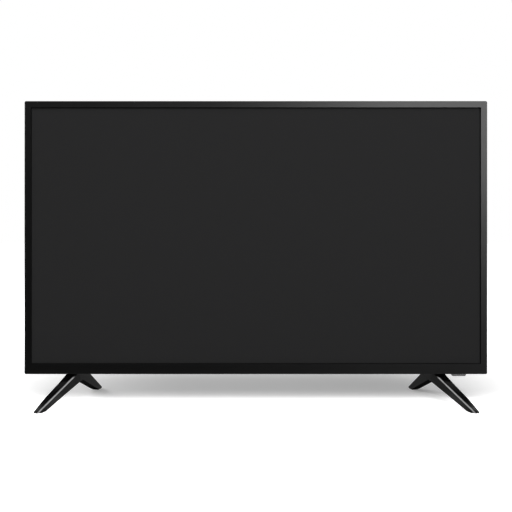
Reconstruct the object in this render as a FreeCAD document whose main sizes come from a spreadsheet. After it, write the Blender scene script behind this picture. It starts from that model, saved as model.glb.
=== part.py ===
import FreeCAD, Part
import Sketcher
import itertools
import math
import operator
import os
from types import SimpleNamespace

V = FreeCAD.Vector
doc = FreeCAD.newDocument("flat_monitor")
sheet = doc.addObject("Spreadsheet::Sheet", "Sizes")

# The row frame: +X to the viewer's right, -Y towards the viewer, +Z up, floor at z = 0.
# The front frame's back edge, where the rear cover meets it, lies near y = 6.

# Driving sizes in millimetres and degrees, each with what it measures
SIZES = (
    ("set_width", 732, "outer width of the front frame"),
    ("set_height", 432, "outer height of the front frame"),
    ("stand_height", 43, "floor to the front frame's lower edge"),
    ("front_reach", 8, "front face ahead of y = 0"),
    ("bezel_depth", 14, "front frame, front to back"),
    ("bezel_wall", 2, "front frame's side walls"),
    ("bezel_lip", 2, "thickness of the lip in front of the screen"),
    ("bezel_side", 10.9, "visible frame at the top and the sides"),
    ("bezel_bottom", 17, "visible frame at the bottom"),
    ("bezel_corner", 2.5, "outer corner radius"),
    ("bezel_edge", 0.6, "bevel of the front edge"),
    ("window_bevel", 1, "bevel round the window"),
    ("gasket_thick", 0.8, "foam between lip and screen"),
    ("gasket_wide", 2.5, "width of the foam"),
    ("gasket_inset", 0.4, "foam set back from the window's edge"),
    ("cell_thick", 1.8, "screen glass with its films"),
    ("cell_tuck", 3, "screen edge hidden behind the lip"),
    ("cell_gap", 0.3, "play round the screen"),
    ("rear_glass", 0.9, "rear sheet of the screen glass"),
    ("glass_step", 1.2, "rear sheet's extra height for the bonded films"),
    ("source_length", 250, "length of a source board"),
    ("source_height", 7, "height of a source board"),
    ("source_inner", 30, "source board's inner end from the middle"),
    ("film_width", 22, "width of a bonded film"),
    ("film_thick", 0.2, "thickness of a bonded film"),
    ("film_lap", 1.5, "film's lap on the source board"),
    ("film_count", 5, "bonded films on each source board"),
    ("frame_gap", 0.4, "middle frame inside the front frame"),
    ("frame_plate", 4.6, "middle frame's bars, front to back"),
    ("frame_opening", 4.6, "middle frame's opening inside the window"),
    ("frame_ledge", 1.6, "ledge between screen and optical films"),
    ("ledge_width", 2.3, "width of that ledge"),
    ("rim_foot", 1.2, "rim along the bottom of the middle frame"),
    ("sheet_gap", 0.3, "play round the optical sheets"),
    ("optical_film", 0.3, "one optical film"),
    ("optical_films", 3, "number of optical films"),
    ("pan_steel", 0.8, "sheet steel of the backlight pan"),
    ("pan_inset", 3.2, "pan flange inside the middle frame"),
    ("pan_mouth", 0.5, "pan mouth outside the frame's opening at the sides"),
    ("pan_mouth_rise", 1, "pan mouth inside the frame's opening at the top and bottom"),
    ("pan_depth", 21.8, "pan flange front to the pan's back"),
    ("pan_taper", 18, "run of the pan's slanted sides"),
    ("pan_skin", 1.1, "pan side measured across"),
    ("reflector_thick", 0.3, "white reflector sheet"),
    ("bar_length", 590, "light bar length"),
    ("bar_height", 16, "light bar height"),
    ("bar_thick", 1.2, "light bar thickness"),
    ("bar_pitch", 120, "distance between light bars"),
    ("bars", 3, "number of light bars"),
    ("lens_pitch", 100, "distance between lenses"),
    ("lenses", 6, "lenses on a bar"),
    ("lens_radius", 7.5, "lens radius"),
    ("lens_height", 5.5, "lens height"),
    ("lens_hole", 8.2, "reflector hole round a lens"),
    ("post_base", 3, "diffuser post foot radius"),
    ("post_tip", 0.8, "diffuser post tip radius"),
    ("post_x", 150, "diffuser posts from the middle"),
    ("standoff_height", 10, "board standoffs on the pan"),
    ("standoff_radius", 3, "board standoff radius"),
    ("board_thick", 1.6, "circuit boards"),
    ("board_inset", 6, "board screw in from the board's edge"),
    ("screw_shank", 1.5, "board and cover screw shank radius"),
    ("screw_play", 0.1, "play round a screw's shank"),
    ("screw_head", 2.9, "board and cover screw head radius"),
    ("screw_head_high", 2.1, "board and cover screw head height"),
    ("board_screw_long", 6, "board screw under its head"),
    ("main_left", 64, "main board, left edge"),
    ("main_right", 247, "main board, right edge"),
    ("board_low", 104, "lower edge of the two big boards"),
    ("board_high", 222, "upper edge of the two big boards"),
    ("power_left", -250, "power board, left edge"),
    ("power_right", -64, "power board, right edge"),
    ("timing_half", 58, "timing board, half its length"),
    ("timing_low", 89, "timing board, lower edge"),
    ("timing_high", 127, "timing board, upper edge"),
    ("mount_pitch", 100, "wall mount holes, across and up"),
    ("mount_centre", 190, "wall mount centre above the floor"),
    ("mount_hole", 2, "wall mount thread radius"),
    ("mount_post", 5, "wall mount post radius to its corners"),
    ("mount_post_gap", 0.3, "post end short of the cover"),
    ("mount_thread", 18, "depth of the wall mount thread"),
    ("mount_cover_hole", 4.5, "cover hole round a wall mount post"),
    ("cover_inset", 1, "rear cover inside the front frame's outline"),
    ("cover_wall", 2.2, "rear cover wall"),
    ("cover_corner", 2.4, "rear cover corner radius"),
    ("cover_rim", 8, "straight rim of the rear cover"),
    ("slope_angle", 50, "slope behind the rim, from the y direction"),
    ("slope_depth", 13, "depth of the slope"),
    ("bulge_front_half", 326, "half width of the housing at the rim"),
    ("bulge_back_half", 300, "half width of the housing at its back"),
    ("bulge_front_high", 300, "top of the housing at the rim"),
    ("bulge_back_high", 262, "top of the housing at its back"),
    ("bulge_depth", 58, "depth of the housing behind the rim"),
    ("bulge_corner", 12, "corner radius of the housing"),
    ("tongue_depth", 1.5, "cover tongue inside the front frame"),
    ("tongue_thick", 1.6, "thickness of the tongue"),
    ("tongue_gap", 0.3, "tongue from the front frame's wall"),
    ("pillar_radius", 5.4, "screw pillar radius"),
    ("pillar_inset", 8, "pillar axis from the cover's edge"),
    ("pillar_rise", 13.6, "lowest pillars above the cover's lower edge"),
    ("pillar_floor", 4, "floor of the screw recess"),
    ("recess_radius", 3.8, "screw recess radius"),
    ("cover_screw_long", 9, "cover screw under its head"),
    ("side_pillar_low", 190, "lower side pillars above the floor"),
    ("side_pillar_high", 340, "upper side pillars above the floor"),
    ("bay_left", 252, "socket bay's side wall"),
    ("bay_floor", 31.5, "socket bay's floor"),
    ("bay_low", 102, "socket bay's lower wall"),
    ("bay_high", 226, "socket bay's upper wall"),
    ("mains_right", -262, "mains bay's side wall"),
    ("mains_low", 112, "mains bay's lower wall"),
    ("mains_high", 168, "mains bay's upper wall"),
    ("vent_width", 4, "width of a vent slot"),
    ("vent_pitch", 11, "distance between vent slots"),
    ("vent_inner", 62, "innermost upper vent from the middle"),
    ("vent_span", 216, "upper vents, first to last"),
    ("vent_low", 236, "upper vents, lower end"),
    ("vent_high", 290, "upper vents, upper end"),
    ("vent_clear", 1.5, "vents stop behind the flat back"),
    ("intake_half", 88, "bottom intake, half its span"),
    ("intake_front", 34, "bottom slots, front end"),
    ("intake_back", 60, "bottom slots, back end"),
    ("grille_width", 2, "width of a speaker slot"),
    ("grille_pitch", 4.5, "distance between speaker slots"),
    ("grille_half", 16, "speaker slots, half their length"),
    ("speaker_x", 185, "speakers from the middle"),
    ("speaker_y", 47, "speaker axis behind y = 0"),
    ("box_half", 65, "speaker box, half its length"),
    ("box_front", 26, "speaker box, front face"),
    ("box_back", 68, "speaker box, back face"),
    ("box_low", 50, "speaker box, lower face"),
    ("box_high", 95, "speaker box, upper face"),
    ("box_wall", 2, "speaker box wall"),
    ("ear_long", 11, "speaker ear past the box"),
    ("ear_high", 10, "speaker ear height"),
    ("ear_thick", 3, "speaker ear thickness"),
    ("grommet_radius", 4.6, "rubber grommet radius"),
    ("pin_radius", 1.8, "speaker pin radius on the pan"),
    ("driver_radius", 20, "speaker driver rim radius"),
    ("driver_rim", 2, "driver rim thickness"),
    ("basket_neck", 13.2, "basket radius at the magnet"),
    ("basket_depth", 11.5, "basket above the box's lower face"),
    ("basket_plate", 1.5, "basket's top plate"),
    ("basket_skin", 0.8, "basket wall"),
    ("coil_hole", 8.6, "hole in the top plate"),
    ("pole_radius", 7, "magnet pole radius"),
    ("magnet_radius", 12.5, "magnet radius"),
    ("magnet_gap_radius", 9.5, "magnet ring's bore radius"),
    ("magnet_high", 7.5, "magnet height"),
    ("magnet_back", 2, "magnet back plate"),
    ("cone_radius", 14.5, "cone rim radius"),
    ("former_radius", 7.9, "voice coil former radius"),
    ("former_skin", 0.4, "voice coil former wall"),
    ("cone_skin", 0.5, "cone thickness"),
    ("cone_depth", 7, "cone depth"),
    ("former_long", 7.5, "former above the cone"),
    ("surround_gap", 0.3, "surround clear of the cone"),
    ("surround_thick", 0.5, "surround thickness"),
    ("tab_x", 322, "sensor tab from the middle"),
    ("tab_top", 24, "sensor tab width at its top"),
    ("tab_bottom", 20, "sensor tab width at its bottom"),
    ("tab_drop", 3.8, "sensor tab below the front frame"),
    ("tab_front", 5, "sensor tab's front face ahead of y = 0"),
    ("tab_depth", 8.5, "sensor tab, front to back"),
    ("tab_neck", 1, "neck narrower than the tab on each side"),
    ("tab_play", 0.2, "slot play round the neck"),
    ("tab_flange", 1, "flange inside the front frame"),
    ("tab_flange_out", 1.2, "flange past the neck"),
    ("notch_half", 19, "half the notch for the sensor board"),
    ("notch_high", 12.4, "notch above the front frame's lower edge"),
    ("sensor_half", 17, "sensor board, half its length"),
    ("sensor_front", 4.5, "sensor board ahead of y = 0"),
    ("sensor_back", 15.5, "sensor board's rear edge"),
    ("sensor_post", 8, "height of the posts under the sensor board"),
    ("sensor_post_radius", 1.8, "radius of those posts"),
    ("sensor_post_inset", 2.2, "posts in from the board's ends"),
    ("sensor_thick", 1.2, "sensor board thickness"),
    ("key_radius", 2.6, "power key radius"),
    ("key_gap", 0.3, "cover hole round the power key"),
    ("key_y", 9.6, "power key behind y = 0"),
    ("key_out", 1.2, "power key below the cover"),
    ("key_travel", 0.6, "power key travel"),
    ("key_flange", 0.8, "power key's flange"),
    ("key_flange_out", 0.7, "flange past the key"),
    ("key_stem", 1.2, "power key's stem radius"),
    ("switch_size", 6, "key switch, across"),
    ("switch_high", 3.1, "key switch height"),
    ("plunger_length", 2.6, "switch plunger"),
    ("plunger_out", 1, "plunger below the switch"),
    ("plunger_gap", 0.3, "switch bore round its plunger"),
    ("foot_x", 290.5, "foot's reference point from the middle"),
    ("foot_y", 15, "foot's reference point behind y = 0"),
    ("foot_toe", 17, "foot turned out, front end outwards"),
    ("foot_front", 114.5, "front leg length"),
    ("foot_rear", 81.8, "rear leg length"),
    ("foot_skew_front", 8, "front end cut back on its inner side"),
    ("foot_skew_rear", 9.6, "rear end cut back on its outer side"),
    ("foot_flat_front", 17, "front leg flat on its pad"),
    ("foot_flat_rear", 11.5, "rear leg flat on its pad"),
    ("foot_tip_high", 2.6, "front tip height over its pad"),
    ("foot_heel_high", 2.4, "rear tip height over its pad"),
    ("foot_top_front", 4, "foot's top, front end from the reference"),
    ("foot_top_rear", 21, "foot's top, rear end from the reference"),
    ("crotch_y", 9, "peak of the arch from the reference"),
    ("crotch_high", 29.3, "peak of the arch above the floor"),
    ("crotch_radius", 10, "rounding of the arch's peak"),
    ("foot_half", 8.8, "half width at the peak"),
    ("tip_outer", 4.6, "front tip, outer half width"),
    ("tip_inner", 3.6, "front tip, inner half width"),
    ("heel_outer", 8.3, "rear tip, outer half width"),
    ("heel_inner", 5.7, "rear tip, inner half width"),
    ("foot_ridge", 2, "bevel along the foot's inner top edge"),
    ("toe_corner", 4, "cut of the toe's inner corner"),
    ("pad_thick", 1, "rubber pad under a tip"),
    ("pad_inset", 1, "pad inside the tip's outline"),
    ("foot_screw_rear", 15, "rear foot screw from the reference"),
    ("foot_screw_front", 2, "front foot screw ahead of the reference"),
    ("foot_screw_seat", 6, "foot left above a screw head"),
    ("foot_bore", 4.2, "bore under a foot screw"),
    ("foot_shank", 1.9, "foot screw shank radius"),
    ("foot_head", 3.6, "foot screw head radius"),
    ("foot_head_high", 2.6, "foot screw head height"),
    ("foot_screw_long", 12, "foot screw under its head"),
    ("bracket_gap", 0.3, "bracket plate above the cover's bottom"),
    ("bracket_steel", 2, "foot bracket plate"),
    ("bracket_half", 14.4, "foot bracket, half its width"),
    ("bracket_front", 8.5, "bracket's lower plate, front edge"),
    ("bracket_back", 36, "bracket's lower plate, back edge"),
    ("bracket_high", 140, "top of the bracket above the floor"),
    ("hole_play", 0.3, "clearance of a plain hole"),
    ("chip_size", 27, "picture processor, across"),
    ("chip_high", 2.2, "picture processor height"),
    ("chip_left", 62, "processor from the main board's left edge"),
    ("chip_low", 52, "processor above the main board's lower edge"),
    ("sink_margin", 10, "heatsink past the processor all round"),
    ("sink_high", 11.8, "heatsink height"),
    ("sink_fin", 1.4, "heatsink fin"),
    ("sink_space", 3.16, "space between the heatsink's fins"),
    ("rail_left", 60, "power heatsink from the power board's left edge"),
    ("rail_low", 18, "power heatsink above the board's lower edge"),
    ("rail_wide", 24, "power heatsink width"),
    ("rail_long", 48, "power heatsink length"),
    ("rail_high", 26, "power heatsink height"),
    ("rail_fin", 1.6, "power heatsink fin"),
    ("rail_space", 4, "space between the power heatsink's fins"),
    ("socket_out", 0.6, "sockets short of their bay's side wall"),
    ("socket_shell", 0.5, "socket shell"),
    ("socket_tongue", 1.1, "tongue inside a socket"),
    ("tongue_set", 5, "tongue set back from the socket's mouth"),
    ("video_first", 22, "first video socket above the main board's lower edge"),
    ("video_pitch", 22, "distance between the video sockets"),
    ("video_wide", 15.2, "video socket width"),
    ("video_high", 5.8, "video socket height off the board"),
    ("socket_deep", 14, "depth of the video and USB sockets"),
    ("usb_place", 68, "USB socket above the main board's lower edge"),
    ("usb_wide", 13.2, "USB socket width"),
    ("usb_high", 6.8, "USB socket height off the board"),
    ("network_place", 92, "network socket above the main board's lower edge"),
    ("network_wide", 16, "network socket width"),
    ("network_high", 13.4, "network socket height off the board"),
    ("network_deep", 18, "network socket depth"),
    ("network_shell", 1.4, "network socket wall"),
    ("panel_steel", 1, "socket panel's sheet"),
    ("panel_margin", 4, "socket panel inside the main board's ends"),
    ("panel_back", 8, "socket panel short of the cover's back wall"),
    ("panel_lap", 8, "socket panel tab's lap on the board"),
    ("panel_tab", 4, "socket panel tab width"),
    ("panel_tab_space", 1, "socket panel tab from the nearest socket"),
    ("jack_window", 21, "cover's socket window, front to back"),
    ("jack_window_lap", 1, "socket window ahead of the board's back"),
    ("jack_window_margin", 8, "socket window inside the bay's ends"),
    ("inlet_half", 11, "mains inlet, half its width"),
    ("inlet_high", 14, "mains inlet height off the board"),
    ("inlet_deep", 24, "mains inlet depth"),
    ("inlet_wall", 2, "mains inlet wall beside its mouth"),
    ("inlet_end", 2.4, "mains inlet wall at its mouth's ends"),
    ("inlet_mouth", 16, "depth of the inlet's mouth"),
    ("inlet_round", 4.4, "rounding of the inlet's mouth"),
    ("inlet_pin", 1.2, "mains pin radius"),
    ("inlet_pin_long", 10.4, "mains pin length"),
    ("inlet_pin_half", 4.3, "mains pins from the inlet's middle"),
    ("core_left", 92, "transformer from the power board's left edge"),
    ("core_low", 34, "transformer above the board's lower edge"),
    ("core_wide", 34, "transformer core width"),
    ("core_long", 30, "transformer core length"),
    ("core_high", 24, "transformer core height"),
    ("bobbin_in", 6, "winding inside the core's sides"),
    ("bobbin_out", 7, "winding past the core's ends"),
    ("bobbin_foot", 3, "height of the bobbin's foot"),
    ("can_radius", 8.6, "capacitor radius"),
    ("can_high", 29, "capacitor height"),
    ("can_groove", 0.6, "depth of the crimp round a capacitor"),
    ("can_left", 48, "first capacitor from the power board's left edge"),
    ("can_pitch", 22, "distance between the two upper capacitors"),
    ("can_low", 84, "upper capacitors above the board's lower edge"),
    ("third_can_left", 150, "third capacitor from the board's left edge"),
    ("third_can_low", 30, "third capacitor above the board's lower edge"),
    ("choke_left", 38, "line filter from the power board's left edge"),
    ("choke_low", 54, "line filter above the board's lower edge"),
    ("choke_ring", 8, "line filter's ring radius"),
    ("choke_coil", 4, "radius of its winding"),
    ("choke_base", 5, "height of its base"),
    ("choke_sunk", 1, "depth that the ring is set into the base"),
    ("header_high", 6.5, "plug header height"),
    ("header_deep", 7, "plug header across its pins"),
    ("header_edge", 8, "plug headers from a board's edge"),
    ("supply_long", 26, "header for the supply lead"),
    ("signal_long", 24, "header for the sensor board's lead"),
    ("speaker_long", 14, "header for the speakers' leads"),
    ("backlight_long", 20, "header for the light bars' lead"),
    ("ribbon_long", 30, "header for a panel ribbon"),
    ("ribbon_inset", 14, "ribbon header from the timing board's end"),
    ("receiver_wide", 6, "infrared receiver width"),
    ("receiver_deep", 4.5, "infrared receiver, front to back"),
    ("receiver_side", 1, "receiver from the tab's middle"),
    ("receiver_set", 2, "receiver behind the tab's front face"),
    ("lamp_radius", 1.5, "standby lamp radius"),
    ("lamp_rim", 0.4, "standby lamp's rim past its dome"),
    ("lamp_side", 5, "standby lamp from the tab's middle"),
    ("lamp_set", 4, "standby lamp's axis behind the tab's front face"),
)

for row, (alias, amount, what) in enumerate(SIZES, 1):
    sheet.set("A%d" % row, what)
    sheet.set("B%d" % row, str(amount))
    sheet.setAlias("B%d" % row, alias)
doc.recompute()

OPERATIONS = {"+": operator.add, "-": operator.sub, "*": operator.mul, "/": operator.truediv}


class Measure:
    """A size: what it comes to now, and the formula that keeps it tied to the sheet."""

    def __init__(self, value, text):
        self.value = value
        self.text = text

    def __add__(self, other):
        return combine(self, "+", other)

    def __radd__(self, other):
        return combine(other, "+", self)

    def __sub__(self, other):
        return combine(self, "-", other)

    def __rsub__(self, other):
        return combine(other, "-", self)

    def __mul__(self, other):
        return combine(self, "*", other)

    def __rmul__(self, other):
        return combine(other, "*", self)

    def __truediv__(self, other):
        return combine(self, "/", other)

    def __neg__(self):
        return combine(0, "-", self)


def measure(size):
    """Any number as a Measure."""
    return size if isinstance(size, Measure) else Measure(float(size), repr(round(float(size), 6)))


def combine(first, sign, second):
    """Two sizes joined by one of the four operations."""
    first, second = measure(first), measure(second)
    value = OPERATIONS[sign](first.value, second.value)
    return Measure(value, "(%s %s %s)" % (first.text, sign, second.text))


def turn_ratio(name, angle):
    """The sin, cos or tan of an angle in degrees."""
    return Measure(getattr(math, name)(math.radians(angle.value)), "%s(%s * 1deg)" % (name, angle.text))


s = SimpleNamespace(**{alias: Measure(float(sheet.get(alias)), "Sizes." + alias) for alias, _, _ in SIZES})

# Places that several pieces share
half_width = s.set_width / 2
set_high = s.stand_height + s.set_height
front_y = -s.front_reach
seam_y = front_y + s.bezel_depth
lip_y = front_y + s.bezel_lip
window_half = half_width - s.bezel_side
window_low = s.stand_height + s.bezel_bottom
window_high = set_high - s.bezel_side
cell_y = lip_y + s.gasket_thick
frame_y = cell_y + s.cell_thick
cell_half = window_half + s.cell_tuck
cell_low = window_low - s.cell_tuck
cell_high = window_high + s.cell_tuck
pan_y = frame_y + s.frame_plate
pan_back = pan_y + s.pan_depth
opening_half = window_half - s.frame_opening
opening_low = window_low + s.frame_opening
opening_high = window_high - s.frame_opening
mouth_half = opening_half + s.pan_mouth
mouth_low = opening_low + s.pan_mouth_rise
mouth_high = opening_high - s.pan_mouth_rise
floor_half = mouth_half - s.pan_taper
floor_low = mouth_low + s.pan_taper
floor_high = mouth_high - s.pan_taper
floor_y = pan_back - s.pan_steel
bar_y = floor_y - s.bar_thick
screen_mid = (window_low + window_high) / 2
board_y = pan_back + s.standoff_height
board_back = board_y + s.board_thick
rim_y = seam_y + s.cover_rim
tray_y = rim_y + s.slope_depth
bulge_y = rim_y + s.bulge_depth
cover_half = half_width - s.cover_inset
cover_low = s.stand_height + s.cover_inset
cover_high = set_high - s.cover_inset
cover_floor = cover_low + s.cover_wall
slope_run = s.slope_depth * turn_ratio("tan", s.slope_angle)
pillar_x = cover_half - s.pillar_inset
pillar_low = cover_low + s.pillar_rise
pillar_high = cover_high - s.pillar_inset
pillar_y = pan_y + s.pan_steel
sensor_z = s.stand_height + s.bezel_wall + s.sensor_post
switch_z = sensor_z - s.switch_high
mains_middle = (s.mains_low + s.mains_high) / 2
bracket_z = cover_floor + s.bracket_gap


def tie(thing, path, size):
    """Binds one property of an object to a formula."""
    thing.setExpression(path, measure(size).text)


def place(thing, x=0, y=0, z=0, axis=V(0, 0, 1), angle=0):
    """Sets an object down at a point, turned about an axis."""
    thing.Placement = FreeCAD.Placement(V(0, 0, 0), FreeCAD.Rotation(axis, angle))
    for name, size in (("x", x), ("y", y), ("z", z)):
        tie(thing, "Placement.Base." + name, size)
    return thing


def new_body(label):
    """An empty body that takes sketches and features."""
    body = doc.addObject("PartDesign::Body", label)
    body.Label = label
    return body


def new_sketch(body, role, along=0):
    """A sketch on one of the body's own planes, moved along that plane's normal."""
    drawn = body.newObject("Sketcher::SketchObject", body.Label + "_sketch")
    plane = [item for item in body.Origin.OriginFeatures if item.Role == role][0]
    drawn.AttachmentSupport = [(plane, "")]
    drawn.MapMode = "FlatFace"
    tie(drawn, "AttachmentOffset.Base.z", along)
    return drawn


def front_sketch(body, y):
    """An upright sketch that faces the viewer, at a depth y: x across and z up."""
    return new_sketch(body, "XZ_Plane", -y)


def floor_sketch(body, z):
    """A level sketch at a height z: x across and y away from the viewer."""
    return new_sketch(body, "XY_Plane", z)


def side_sketch(body, x):
    """An upright sketch seen from the right, at a distance x: y across and z up."""
    return new_sketch(body, "YZ_Plane", x)


def pin(drawn, wanted):
    """Ties coordinates of points in a sketch to sizes, each given as kind, geometry, size and point."""
    rules, formulas = [], []
    for kind, geometry, size, point in wanted:
        size = measure(size)
        on_axis = size.text in ("0.0", "-0.0")
        if on_axis:
            axis = -2 if kind == "DistanceX" else -1
            rules.append(Sketcher.Constraint("PointOnObject", geometry, point, axis))
        else:
            rules.append(Sketcher.Constraint(kind, -1, 1, geometry, point, size.value))
        formulas.append(None if on_axis else size.text)
    first = drawn.ConstraintCount
    drawn.addConstraint(rules)
    for number, formula in enumerate(formulas, first):
        if formula:
            drawn.setExpression("Constraints[%d]" % number, formula)


def polygon(drawn, points):
    """A closed outline of straight lines through the points."""
    first = drawn.GeometryCount
    corners = [V(measure(across).value, measure(up).value, 0) for across, up in points]
    lines = [Part.LineSegment(here, there) for here, there in zip(corners, corners[1:] + corners[:1])]
    drawn.addGeometry(lines, False)
    drawn.addConstraint([Sketcher.Constraint("Coincident", first + i, 2, first + (i + 1) % len(points), 1)
                         for i in range(len(points))])
    wanted = []
    for i, (across, up) in enumerate(points):
        wanted += [("DistanceX", first + i, across, 1), ("DistanceY", first + i, up, 1)]
    pin(drawn, wanted)


def ring_of(across, up, radius, start, turn, steps):
    """Points evenly spread along an arc, its start and turn given in quarter turns."""
    angles = [(start + turn * number / steps) * math.pi / 2 for number in range(steps + 1)]
    return [(across + radius * round(math.cos(angle), 6), up + radius * round(math.sin(angle), 6))
            for angle in angles]


def regular(drawn, across, up, radius, sides=6):
    """A regular polygon about a centre, its first corner straight across from it."""
    polygon(drawn, ring_of(across, up, radius, 0, 4, sides)[:-1])


def cornered(drawn, left, right, low, high, radius, steps):
    """A closed rectangle whose corners are rounded off in a few straight steps."""
    near, far, bottom, top = left + radius, right - radius, low + radius, high - radius
    points = []
    for start, across, up in ((-1, far, bottom), (0, far, top), (1, near, top), (2, near, bottom)):
        points += ring_of(across, up, radius, start, 1, steps)
    polygon(drawn, points)


def rectangle(drawn, left, right, low, high):
    """A closed rectangle."""
    polygon(drawn, ((left, low), (right, low), (right, high), (left, high)))


def rounded(drawn, left, right, low, high, radius):
    """A closed rectangle with rounded corners."""
    first = drawn.GeometryCount
    l, r, b, h, round_off = (measure(size).value for size in (left, right, low, high, radius))
    lines = (
        ((l + round_off, b), (r - round_off, b)),
        ((r, b + round_off), (r, h - round_off)),
        ((r - round_off, h), (l + round_off, h)),
        ((l, h - round_off), (l, b + round_off)),
    )
    centres = (
        (r - round_off, b + round_off),
        (r - round_off, h - round_off),
        (l + round_off, h - round_off),
        (l + round_off, b + round_off),
    )
    for here, there in lines:
        drawn.addGeometry(Part.LineSegment(V(*here, 0), V(*there, 0)), False)
    for i, centre in enumerate(centres):
        circle = Part.Circle(V(*centre, 0), V(0, 0, 1), round_off)
        drawn.addGeometry(Part.ArcOfCircle(circle, (i - 1) * math.pi / 2, i * math.pi / 2), False)
    for i in range(4):
        line, arc, following = first + i, first + 4 + i, first + (i + 1) % 4
        drawn.addConstraint(Sketcher.Constraint("Tangent", line, 2, arc, 1))
        drawn.addConstraint(Sketcher.Constraint("Tangent", arc, 2, following, 1))
        drawn.addConstraint(Sketcher.Constraint("Vertical" if i % 2 else "Horizontal", line))
    for i in range(1, 4):
        drawn.addConstraint(Sketcher.Constraint("Equal", first + 4, first + 4 + i))
    number = drawn.addConstraint(Sketcher.Constraint("Radius", first + 4, round_off))
    drawn.setExpression("Constraints[%d]" % number, measure(radius).text)
    pin(drawn, (("DistanceY", first, low, 1), ("DistanceX", first + 1, right, 1),
                ("DistanceY", first + 2, high, 1), ("DistanceX", first + 3, left, 1)))


def circle(drawn, across, up, radius):
    """A circle about a pinned centre."""
    number = drawn.GeometryCount
    centre = V(measure(across).value, measure(up).value, 0)
    drawn.addGeometry(Part.Circle(centre, V(0, 0, 1), measure(radius).value), False)
    pin(drawn, (("DistanceX", number, across, 3), ("DistanceY", number, up, 3)))
    rule = drawn.addConstraint(Sketcher.Constraint("Radius", number, measure(radius).value))
    drawn.setExpression("Constraints[%d]" % rule, measure(radius).text)


def pad(body, drawn, length, along=False):
    """Adds material from a sketch; along means the way that the sketch plane's normal points."""
    made = body.newObject("PartDesign::Pad", body.Label + "_pad")
    made.Profile = drawn
    made.Reversed = not along
    tie(made, "Length", length)
    body.Tip = made
    return made


def pocket(body, drawn, length, along=False):
    """Takes material away from a sketch; along means the way that the plane's normal points."""
    made = body.newObject("PartDesign::Pocket", body.Label + "_pocket")
    made.Profile = drawn
    made.Reversed = along
    tie(made, "Length", length)
    body.Tip = made
    return made


def loft(body, kind, first, last):
    """A straight-sided loft between two sketches, added or taken away."""
    made = body.newObject("PartDesign::" + kind, body.Label + "_loft")
    made.Profile = first
    made.Sections = [last]
    made.Ruled = True
    body.Tip = made
    return made


def repeat_along(body, feature, drawn, axis, span, pitch):
    """Repeats a feature along its sketch's H_Axis or V_Axis, as often as the pitch fits the span."""
    made = body.newObject("PartDesign::LinearPattern", body.Label + "_row")
    made.Originals = [feature]
    made.Direction = (drawn, [axis])
    steps = "floor(%s + 0.001)" % (span / pitch).text
    made.setExpression("Occurrences", steps + " + 1")
    made.setExpression("Length", "%s * %s" % (steps, pitch.text))
    body.Tip = made
    return made


def dress(body, kind, size, wanted):
    """Rounds or bevels the edges that the test picks; kind is Fillet or Chamfer."""
    doc.recompute()
    base = body.Tip
    names = ["Edge%d" % number for number, edge in enumerate(body.Shape.Edges, 1) if wanted(edge)]
    made = body.newObject("PartDesign::" + kind, body.Label + "_" + kind.lower())
    made.Base = (base, names)
    tie(made, "Radius" if kind == "Fillet" else "Size", size)
    body.Tip = made
    return made


def turned(label, sides, points):
    """A solid of flat sides about its own Z axis, from points of radius and height."""
    rings = []
    for radius, height in points:
        corners = ring_of(0, 0, measure(radius).value, 0, 4, sides)
        rings.append([V(x, y, measure(height).value) for x, y in corners])
    faces = []
    for near, far in zip(rings, rings[1:] + rings[:1]):
        for i in range(sides):
            corners = []
            for corner in (near[i], near[i + 1], far[i + 1], far[i]):
                if all(corner.distanceToPoint(other) > 1e-6 for other in corners):
                    corners.append(corner)
            if len(corners) > 2:
                faces.append(Part.Face(Part.makePolygon(corners + corners[:1])))
    solid = Part.Solid(Part.Shell(faces)).removeSplitter()
    if solid.Volume < 0:
        solid.reverse()
    made = doc.addObject("Part::Feature", label)
    made.Label = label
    made.Shape = solid
    return made


def block(label, left, right, front, back, low, high):
    """A plain block between six faces."""
    made = doc.addObject("Part::Box", label)
    made.Label = label
    tie(made, "Length", right - left)
    tie(made, "Width", back - front)
    tie(made, "Height", high - low)
    return place(made, left, front, low)


def rod(label, sides, radius, length, x=0, y=0, z=0, axis=V(0, 0, 1), angle=0):
    """A prism from a point, along Z unless it is turned."""
    made = doc.addObject("Part::Prism", label)
    made.Label = label
    made.Polygon = sides
    tie(made, "Circumradius", radius)
    tie(made, "Height", length)
    return place(made, x, y, z, axis, angle)


def cut(label, base, *tools):
    """One solid with others taken away from it."""
    made = doc.addObject("Part::Cut", label)
    made.Label = label
    made.Base = base
    made.Tool = tools[0] if len(tools) == 1 else group(label + "_tools", tools)
    return made


def fuse(label, *shapes):
    """Solids joined into one."""
    made = doc.addObject("Part::MultiFuse", label)
    made.Label = label
    made.Shapes = list(shapes)
    made.Refine = True
    return made


def group(label, shapes):
    """Separate solids that are kept together under one name."""
    made = doc.addObject("Part::Compound", label)
    made.Label = label
    made.Links = list(shapes)
    return made


def repeat(label, master, places, axis=V(0, 0, 1), angle=0):
    """Separate copies of one master piece, each set down at its own place."""
    copies = []
    for number, (x, y, z) in enumerate(places, 1):
        copy = doc.addObject("App::Link", "%s_%d" % (label, number))
        copy.LinkedObject = master
        copies.append(place(copy, x, y, z, axis, angle))
    return group(label, copies)


def mirrored(label, source):
    """The same piece on the other side of the middle."""
    made = doc.addObject("Part::Mirroring", label)
    made.Label = label
    made.Source = source
    made.Normal = V(1, 0, 0)
    return made


TOWARDS_BACK = (V(1, 0, 0), -90)
TOWARDS_FRONT = (V(1, 0, 0), 90)
TOWARDS_LEFT = (V(0, 1, 0), -90)
UPSIDE_DOWN = (V(1, 0, 0), 180)
DRIVER_SIDES = 12
inner_half = half_width - s.bezel_wall
inner_low = s.stand_height + s.bezel_wall
inner_high = set_high - s.bezel_wall
lamp_low = inner_low + s.tab_flange + s.hole_play


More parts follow.
